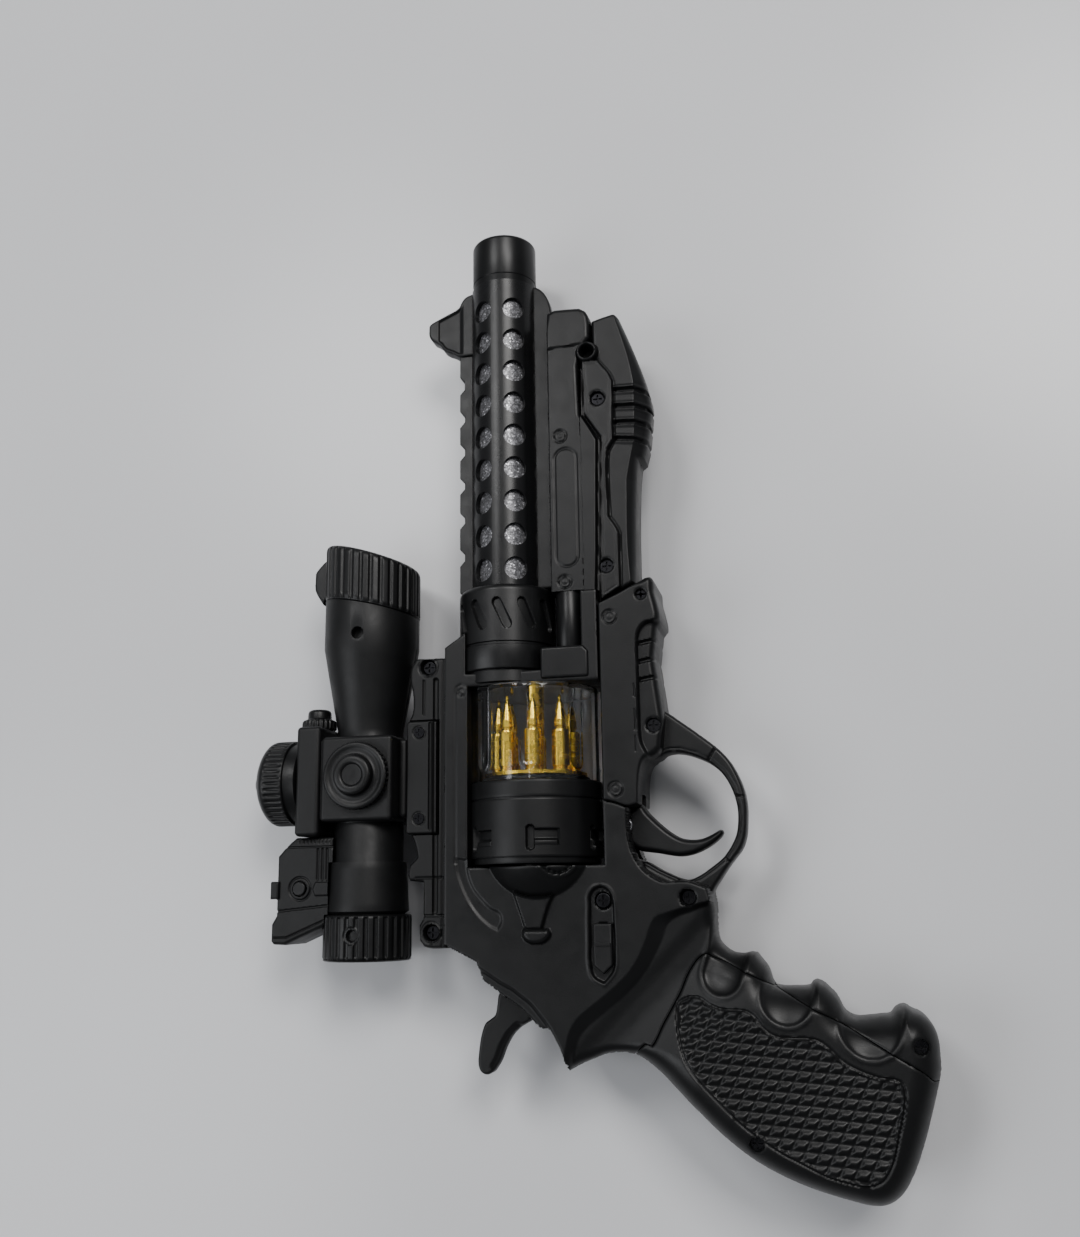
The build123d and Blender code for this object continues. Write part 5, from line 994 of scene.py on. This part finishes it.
def clear_profile():
    p = [(25.8, CLEAR_OUT)] + steps(26.0, 32.0, CLEAR_OUT, 0.25)[1:] + steps(32.0, 54.9, CLEAR_OUT, 1.2)[1:]
    p += [(55.3, CLEAR_OUT - 0.06), (55.65, CLEAR_OUT - 0.25), (55.88, CLEAR_OUT - 0.55), (56.0, CLEAR_OUT - 1.0),
          (56.0, 17.2), (56.0, 10.0), (56.0, 3.3), (54.9, 3.3), (54.9, 10.0), (54.9, 17.2),
          (54.7, CLEAR_OUT - 1.5), (54.2, CLEAR_OUT - CLEAR_WALL)]
    p += steps(54.0, 32.0, CLEAR_OUT - CLEAR_WALL, 1.2) + steps(32.0, 25.8, CLEAR_OUT - CLEAR_WALL, 0.25)[1:]
    return p


turned("clear_window", "drum", "clear_plastic", ["clear_drum"], clear_profile(), DRUM_X, 0.0, 720, clear_shape,
       sharp=35)

# collar round the barrel root, with slanted slots
COLLAR_X = -10.0


def collar_shape(T, Yv, R):
    outer = R > 15.0
    depth = np.zeros(T.shape)
    for k in range(12):
        t = wrap(T - math.radians(30 * k + 8)) * 15.9
        dy = Yv - 79.6
        ca, sa = math.cos(math.radians(25)), math.sin(math.radians(25))
        u, v = dy * ca - t * sa, t * ca + dy * sa
        slot = np.hypot(np.maximum(np.abs(u) - 4.0, 0), v) - 1.5
        depth = np.maximum(depth, 1.3 * inn(slot, 0.30))
    return Yv, np.where(outer, R - depth, R)


def collar_profile():
    p = [(57.4, 2.0), (57.4, 14.2), (57.6, 14.6), (61.3, 14.6), (61.4, 15.4), (61.6, 15.75), (61.9, 15.9)]
    p += [(69.3, 15.9), (69.6, 15.4), (70.2, 15.4), (70.5, 15.9)] + steps(71.0, 87.6, 15.9, 0.24)
    p += [(88.3, 15.75), (88.9, 15.35), (89.3, 14.8), (89.5, 14.0), (89.5, 11.55), (63.0, 11.55), (63.0, 2.0)]
    return p


turned("collar_ring", "frame", "barrel_black", ["barrel_collar"], collar_profile(), COLLAR_X, 0.0, 540, collar_shape,
       sharp=40, mat=M["collar_satin"])

# carried-over solids get their small edge rounds
for n, wdt in (("barrel_rib", 0.35), ("crane_block", 2.2), ("ejector_shroud", 0.4), ("power_slider", 0.2),
               ("muzzle_cap", 0.3), ("scope_shell_right", 0.35), ("scope_shell_left", 0.35), 
               ):
    if n in NODES:
        ease_edges(NODES[n], wdt, 2, 28)


# ---------------------------------------------------------------- scope pieces
SX = -58.0
LEAN_BACK, LEAN_FRONT = math.tan(math.radians(12.4)), math.tan(math.radians(16.7))


def lathe(name, body, slot, nodes, profile, origin, axis, count, shape=None, sharp=40, mat=None):
    """closed ring of revolution; profile is a loop of (s, r) along the axis from the origin, drawing mm"""
    p = np.asarray(profile, float)
    ax = np.asarray(axis, float)
    side = np.array([0.0, 0.0, 1.0]) if abs(ax[2]) < 0.5 else np.array([0.0, 1.0, 0.0])
    other = np.cross(ax, side)
    th = np.linspace(0, 2 * math.pi, count, endpoint=False)
    T, Sv = np.meshgrid(th, p[:, 0], indexing="ij")
    R = np.broadcast_to(p[:, 1], T.shape).copy()
    Sv = Sv.copy()
    if shape is not None:
        Sv, R = shape(T, Sv, R)
    o3 = np.array([origin[0] - OX, origin[1] - OY, AZ + origin[2]])
    v = (o3 + Sv[..., None] * ax + (R * np.cos(T))[..., None] * side + (R * np.sin(T))[..., None] * other)
    v = v.reshape(-1, 3) * MM
    m = len(p)
    i = np.arange(count)[:, None]
    j = np.arange(m)[None, :]
    a, b = i * m + j, ((i + 1) % count) * m + j
    c, d = ((i + 1) % count) * m + (j + 1) % m, i * m + (j + 1) % m
    f = np.stack([a, b, c, d], -1).reshape(-1, 4)
    me = bpy.data.meshes.new(name)
    me.from_pydata(v.tolist(), [], f.tolist())
    me.update()
    bm = bmesh.new()
    bm.from_mesh(me)
    if bm.calc_volume(signed=True) < 0:
        me.flip_normals()
    bm.free()
    me.polygons.foreach_set("use_smooth", [True] * len(me.polygons))
    me.set_sharp_from_angle(angle=math.radians(sharp))
    o = bpy.data.objects.new(name, me)
    bpy.context.scene.collection.objects.link(o)
    o.data.materials.append(mat or M[slot])
    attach(o, body)
    if nodes:
        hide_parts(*nodes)
    return o


def ribs(T, count, duty, soft, phase=0.0):
    """0 on a rib, 1 in the gap between ribs"""
    u = np.abs(((T * count / (2 * math.pi) + phase + 0.5) % 1.0) - 0.5) * 2
    return S(u, duty - soft, duty + soft)


# objective bezel: ribs round a ring whose two ends lean
def bezel_shape(T, Sv, R):
    out = R > 14.6
    k = ribs(T, 30, 0.66, 0.20)
    fade = S(Sv, 87.3, 88.6) * (1 - S(Sv, 103.6, 105.0))
    lean = LEAN_BACK + (LEAN_FRONT - LEAN_BACK) * np.clip((Sv - 87.0) / 18.4, 0, 1)
    R = np.where(out, R - 0.6 * k * fade, R)
    return Sv - lean * R * np.sin(T), R


bz = [(87.05, 14.0), (87.05, 15.1)] + corner(87.05, 16.2, 0.7, 1, -1) + steps(88.2, 102.8, 16.2, 0.8)
bz += [(103.7, 16.12), (104.4, 15.9), (105.0, 15.45), (105.38, 14.8), (105.38, 14.2), (105.1, 13.98), (100.3, 13.98)]
turned("objective_bezel", "frame", "knob_black", ["objective_ring"], bz, SX, 0.0, 480, bezel_shape, sharp=42)
LOBE = spline([(-72.9, 105.6), (-74.6, 105.1), (-77.6, 101.9), (-78.1, 100.9), (-78.1, 95.2), (-77.6, 93.9),
               (-74.9, 89.6), (-72.9, 92.4)], 4, True, 24)
lobe_h = lambda X, Y: rolled(np.full(X.shape, 4.0), np.minimum(sdf(LOBE, X, Y), 0), 0.9, 1.0)
relief("objective_lobe", "frame", "knob_black", [], lambda X, Y: sdf(LOBE, X, Y), lobe_h,
       lambda X, Y: -lobe_h(X, Y), (-79.0, 88.6, -72.4, 106.4), cell=0.22)


# eyepiece bezel with a screw hole on top
def eye_shape(T, Sv, R):
    out = R > 12.7
    k = ribs(T, 28, 0.60, 0.18)
    fade = S(Sv, -28.2, -27.0) * (1 - S(Sv, -15.4, -14.7))
    R = np.where(out, R - 0.7 * k * fade, R)
    d = np.hypot(Sv + 20.6, wrap(T) * 14.0)
    t = inn(d - 2.7, 0.5) * out
    R = R * (1 - t) + 13.8 * t
    return Sv, R - 1.55 * inn(d - 1.75, 0.36) * out


ez = [(-28.6, 10.2), (-28.6, 13.3)] + corner(-28.6, 14.25, 0.85, 1, -1)[1:] + steps(-27.4, -15.4, 14.25, 0.28)
ez += [(-14.8, 14.2), (-14.4, 13.95), (-14.22, 13.5), (-14.2, 12.1), (-27.2, 12.1), (-27.2, 10.2)]
turned("eyepiece_bezel", "frame", "knob_black", ["eyepiece_ring"], ez, SX, 0.0, 560, eye_shape, sharp=42)


# dial on the side of the turret block
def dial_shape(T, Sv, R):
    k = ribs(T, 40, 0.5, 0.2)
    rim = (R > 10.6) & (Sv > 14.3) & (Sv < 16.3)
    return Sv, np.where(rim, R - 0.45 * k, R)


dz = [(11.2, 0.05), (11.2, 3.98), (14.1, 3.98), (14.1, 10.5), (14.3, 10.85), (14.6, 10.9), (15.4, 10.9), (16.0, 10.9),
      (16.5, 10.75), (16.85, 10.35), (16.95, 9.9), (16.9, 9.4), (16.6, 8.9), (16.45, 8.2), (16.5, 7.4), (16.6, 6.9),
      (16.9, 6.55), (17.8, 6.45), (18.6, 6.4), (19.1, 6.2), (19.4, 5.7), (19.5, 5.0), (19.5, 4.4), (19.4, 3.95),
      (19.1, 3.5), (18.8, 3.3), (18.75, 2.6), (18.75, 1.2), (18.75, 0.05)]
lathe("turret_dial", "side_turret", "knob_black", ["side_turret_knob"], dz, (-56.9, 29.3, 0), (0, 0, 1), 320,
      dial_shape, sharp=42)


# domed dial on top of the turret block; s runs towards the sight side
def dome_shape(T, Sv, R):
    k = ribs(T, 44, 0.58, 0.2)
    fade = S(Sv, 84.0, 84.9) * (1 - S(Sv, 89.2, 90.2))
    return Sv, np.where(R > 13.5, R - 0.5 * k * fade, R)


tz = [(72.8, 0.05), (72.8, 3.98), (79.5, 3.98), (79.5, 12.8), (79.8, 13.15), (83.2, 13.2), (83.5, 13.3),
      (83.55, 13.8), (83.8, 14.1), (84.2, 14.2), (84.8, 14.2), (85.6, 14.2), (88.6, 14.2), (89.6, 14.2), (90.2, 14.17),
      (90.9, 14.0), (91.5, 13.7), (92.2, 13.1), (93.1, 12.0), (94.2, 10.2), (95.3, 8.0), (96.4, 5.9), (97.5, 4.0),
      (98.3, 2.6), (98.8, 1.6), (99.05, 0.7), (99.08, 0.05)]
lathe("turret_dome", "top_turret", "knob_black", ["top_turret_knob"], tz, (0, 29.0, 0), (-1, 0, 0), 352,
      dome_shape, sharp=42)


def wind_shape(T, Sv, R):
    k = ribs(T, 22, 0.5, 0.2)
    rim = (R > 5.2) & (Sv > 46.8) & (Sv < 49.7)
    return Sv, np.where(rim, R - 0.4 * k, R)


wz = [(42.7, 0.05), (42.7, 1.5), (46.6, 1.5), (46.6, 5.4), (46.85, 5.75), (47.3, 5.8), (48.8, 5.8), (49.4, 5.7),
      (49.8, 5.35), (50.0, 4.9), (50.2, 4.3), (50.6, 4.0), (52.4, 3.9), (53.1, 3.6), (53.45, 3.0), (53.6, 1.6),
      (53.6, 0.05)]
lathe("windage_dial", "windage", "knob_black", ["windage_knob"], wz, (-76.6, 0, 0), (0, 1, 0), 220, wind_shape,
      sharp=42)

# reflex sight hood
HOOD = spline([(-80.0, 10.45), (-66.6, 10.45), (-66.6, 7.0), (-65.6, 7.0), (-65.4, -12.3), (-69.6, -17.8),
               (-82.9, -23.4), (-87.0, -23.2), (-87.8, -22.3), (-87.8, -16.9), (-86.2, -14.2), (-86.2, 4.6),
               (-83.4, 7.6)], 4, True, 14)
EAR = [(-88.1, -9.0), (-85.0, -9.0), (-85.0, -3.4), (-88.1, -3.4)]


def tube_top(X, Y):
    """top of the scope tube with its clearance, where it passes the hood"""
    z = np.sqrt(np.clip(12.6 ** 2 - (X + 58.0) ** 2, 0, None))
    z = np.maximum(z, np.sqrt(np.clip(14.5 ** 2 - (X + 58.0) ** 2, 0, None)) * (Y < -14.0))
    return np.maximum(z, np.sqrt(np.clip(13.55 ** 2 - (X + 58.0) ** 2, 0, None)) * (Y < 2.4))


def hood_height(X, Y):
    d = sdf(HOOD, X, Y)
    h = np.full(X.shape, 9.0)
    # fine ribs along the front, a raised arm beside the tube and a ring round the button
    u = np.abs(((X + 90.0) / 1.3) % 1.0 - 0.5) * 2
    h = h - 0.3 * S(u, 0.5, 0.9) * inn(rectd(-79.4, 8.4, -67.4, 9.8, X, Y), 0.4)
    for x in (-72.0, -70.4, -68.8):
        h = h - groove(line_dist([(x, 6.6), (x, -3.0)], X, Y), 0.42, 0.55)
    h = h - groove(line_dist([(-85.6, 7.4), (-66.0, 7.4)], X, Y), 0.35, 0.5)
    da = sdf([(-72.6, -3.9), (-65.0, -3.9), (-65.0, -8.0), (-72.6, -8.0), (-73.4, -6.0)], X, Y)
    h = h + 0.5 * inn(da, 0.6)
    r = np.hypot(X + 78.0, Y + 5.8)
    h = h - groove(np.abs(r - 3.7), 0.32, 0.42)
    h = h + 0.2 * inn(r - 3.3, 0.4)
    h = np.where(r < 2.45, np.minimum(h, 8.42), h)
    h = h - groove(line_dist([(-86.2, -12.9), (-66.0, -11.0)], X, Y), 0.4, 0.5)
    h = h - groove(line_dist([(-87.2, -21.0), (-82.2, -21.0), (-69.0, -15.6)], X, Y), 0.3, 0.4)
    return rolled(h, np.minimum(d, 0), 1.2, 1.3)


def hood_outline(X, Y):
    d = np.minimum(sdf(HOOD, X, Y), sdf(EAR, X, Y))
    return np.maximum(d, (tube_top(X, Y) - 8.9) * 0.5)


def hood_top(X, Y):
    h = hood_height(X, Y)
    de = sdf(EAR, X, Y)
    ear = rolled(np.full(X.shape, 10.0), np.minimum(de, 0), 0.8, 0.8)
    return np.where(de < 0, np.maximum(ear, np.where(sdf(HOOD, X, Y) < 0, h, 0)), h)


def hood_bottom(X, Y):
    """walls of the hood: the window runs along it and the tube passes on the right"""
    z = 6.8 * (sdf([(-84.3, 5.0), (-75.8, 5.0), (-75.8, -2.0), (-73.6, -2.0), (-73.6, -16.0), (-84.3, -20.4)],
                   X, Y) < 0)
    return np.maximum(z, tube_top(X, Y))


relief("reflex_hood_right", "frame", "scope_black", ["reflex_body"], hood_outline, hood_top, hood_bottom,
       (-88.6, -24.0, -64.8, 11.0), cell=0.2)
relief("reflex_hood_left", "frame", "scope_black", ["reflex_body"], hood_outline, hood_top, hood_bottom,
       (-88.6, -24.0, -64.8, 11.0), cell=0.3, side=-1)

# mount base and clamp plate
BASE = spline([(-39.6, 67.8), (-28.5, 67.6), (-28.5, -24.7), (-34.4, -24.7), (-36.2, -24.2), (-37.6, -22.4),
               (-37.8, -20.0), (-37.8, -17.6), (-36.6, -15.7), (-36.6, -4.6), (-41.2, -3.9), (-41.8, -1.8),
               (-41.2, 0.9), (-38.7, 3.4), (-39.6, 7.6), (-41.0, 10.6), (-42.1, 12.2), (-42.1, 46.8), (-40.8, 49.4),
               (-40.8, 57.0), (-41.5, 59.8), (-41.4, 64.6)], 4, True, 30)


def base_height(X, Y):
    d = sdf(BASE, X, Y)
    h = np.full(X.shape, 7.95)
    # long channels and cross lines
    h = h - groove(line_dist([(-32.5, 60.0), (-32.5, -13.6)], X, Y), 0.95, 1.1)
    h = h - groove(line_dist([(-36.6, 60.0), (-36.6, 49.2)], X, Y), 0.5, 0.6)
    h = h - groove(line_dist([(-30.2, 67.6), (-30.2, -24.0)], X, Y), 0.28, 0.35)
    h = h - groove(line_dist([(-38.8, -3.2), (-29.0, -3.2)], X, Y), 0.4, 0.5)
    h = h - groove(line_dist([(-38.6, -14.8), (-29.0, -14.8)], X, Y), 0.45, 0.6)
    h = rolled(h, np.minimum(d, 0), 1.2, 1.3)
    for x, y in ((-35.2, 64.7), (-33.6, -20.0)):
        r = np.hypot(X - x, Y - y)
        h = h - groove(np.abs(r - 3.3), 0.3, 0.3)
        t = inn(r - 2.5, 0.3)
        h = h * (1 - t) + np.minimum(h, 4.6) * t
    # seat of the clamp plate
    t = inn(rectd(-43.5, 10.35, -31.2, 47.05, X, Y), 0.1)
    h = h * (1 - t) + np.minimum(h, 4.0) * t
    return h


def base_bottom(X, Y):
    z = np.sqrt(np.clip(15.4 ** 2 - (X + 58.0) ** 2, 0, None)) * (Y < -13.2)
    z = np.maximum(z, np.sqrt(np.clip(13.6 ** 2 - (X + 58.0) ** 2, 0, None)) * (Y < 3.0))
    return np.maximum(z, np.sqrt(np.clip(16.3 ** 2 - (X + 58.0) ** 2, 0, None)) * (Y > 44.0))


BASE_D = lambda X, Y: sdf(BASE, X, Y)
relief("sight_mount_right", "frame", "scope_black", ["mount_base"], BASE_D, base_height, base_bottom,
       (-43.6, -25.2, -28.0, 69.0), cell=0.26)
relief("sight_mount_left", "frame", "scope_black", ["mount_base"], BASE_D, base_height, base_bottom,
       (-43.6, -25.2, -28.0, 69.0), cell=0.34, side=-1)

CLAMP = spline([(-42.05, 11.2), (-41.3, 10.55), (-32.2, 10.55), (-31.45, 11.2), (-31.45, 46.2), (-32.2, 46.85),
                (-41.3, 46.85), (-42.05, 46.2)], 4, True, 30)


def clamp_height(X, Y):
    d = sdf(CLAMP, X, Y)
    h = np.full(X.shape, 9.2)
    h = h - groove(line_dist([(-34.0, 12.0), (-34.0, 46.0)], X, Y), 0.45, 0.7)
    h = h - 0.9 * S(X, -33.4, -32.6)
    h = rolled(h, np.minimum(d, 0), 0.8, 0.9)
    for x, y in ((-37.7, 43.0), (-37.6, 15.4)):
        r = np.hypot(X - x, Y - y)
        h = h - groove(np.abs(r - 2.1), 0.25, 0.25)
        t = inn(r - 1.7, 0.25)
        h = h * (1 - t) + np.minimum(h, 8.35) * t
    return h


relief("clamp_plate", "frame", "scope_black", ["mount_clamp"], lambda X, Y: sdf(CLAMP, X, Y), clamp_height,
       lambda X, Y: np.full(X.shape, 4.1), (-42.6, 10.4, -32.2, 47.8), cell=0.2)


# ---------------------------------------------------------------- stage
def floor_mesh():
    me = bpy.data.meshes.new("floor")
    s = 3.0
    me.from_pydata([(-s, -s, 0), (s, -s, 0), (s, s, 0), (-s, s, 0)], [], [(0, 1, 2, 3)])
    o = bpy.data.objects.new("floor", me)
    bpy.context.scene.collection.objects.link(o)
    m, t, b = nt("floor_pale")
    vec = objcoords(t)
    n = noise(t, 3.0, 3, 0.5, vec)
    c = ramp(t, n.outputs["Fac"], [(0.3, (0.60, 0.605, 0.62)), (0.7, (0.66, 0.665, 0.68))])
    link(t, c.outputs["Color"], b.inputs["Base Color"])
    b.inputs["Roughness"].default_value = 0.28
    b.inputs["Specular IOR Level"].default_value = 0.5
    me.materials.append(m)
    return o


floor_mesh()


def area(name, loc, target, size, power, color=(1, 1, 1)):
    l = bpy.data.lights.new(name, "AREA")
    l.shape = "RECTANGLE"
    l.size, l.size_y = size
    l.energy = power
    l.color = color
    o = bpy.data.objects.new(name, l)
    bpy.context.scene.collection.objects.link(o)
    o.location = loc
    o.rotation_euler = (Vector(target) - Vector(loc)).to_track_quat("-Z", "Y").to_euler()
    return o


area("key", (0.55, 0.75, 1.30), (0, 0, 0), (0.7, 0.5), 15.5, (1.0, 0.985, 0.97))
area("fill", (-1.0, -0.3, 1.1), (0, 0, 0), (0.8, 0.8), 8.0, (0.95, 0.97, 1.0))
area("top", (-0.50, 0.68, 1.25), (0, 0.05, 0), (0.45, 0.45), 6.5)
strip = area("strip", (0.034, 0.45, 1.3), (0.034, 0.45, 0), (0.05, 2.2), 1.6)
w = bpy.data.worlds.new("studio")
bpy.context.scene.world = w
w.use_nodes = True
w.node_tree.nodes["Background"].inputs["Color"].default_value = (0.93, 0.95, 1.0, 1)
w.node_tree.nodes["Background"].inputs["Strength"].default_value = 0.19

# ---------------------------------------------------------------- camera
# rows: camera right, up, backward in the row frame
CAM_ROWS = [(0.97134, -0.015256, -0.237205), (0.068448, 0.973619, 0.217672), (0.227626, -0.22767, 0.946759)]
cam_data = bpy.data.cameras.new("camera")
cam_data.sensor_width = 36.0
cam_data.sensor_fit = "AUTO"
cam_data.lens = 34.92
cam_data.clip_start = 0.01
cam = bpy.data.objects.new("camera", cam_data)
bpy.context.scene.collection.objects.link(cam)
CAM_POS = (0.08325, -0.07177, 0.39805)
cam.matrix_world = Matrix.Translation(CAM_POS) @ Matrix(CAM_ROWS).transposed().to_4x4()
bpy.context.scene.camera = cam
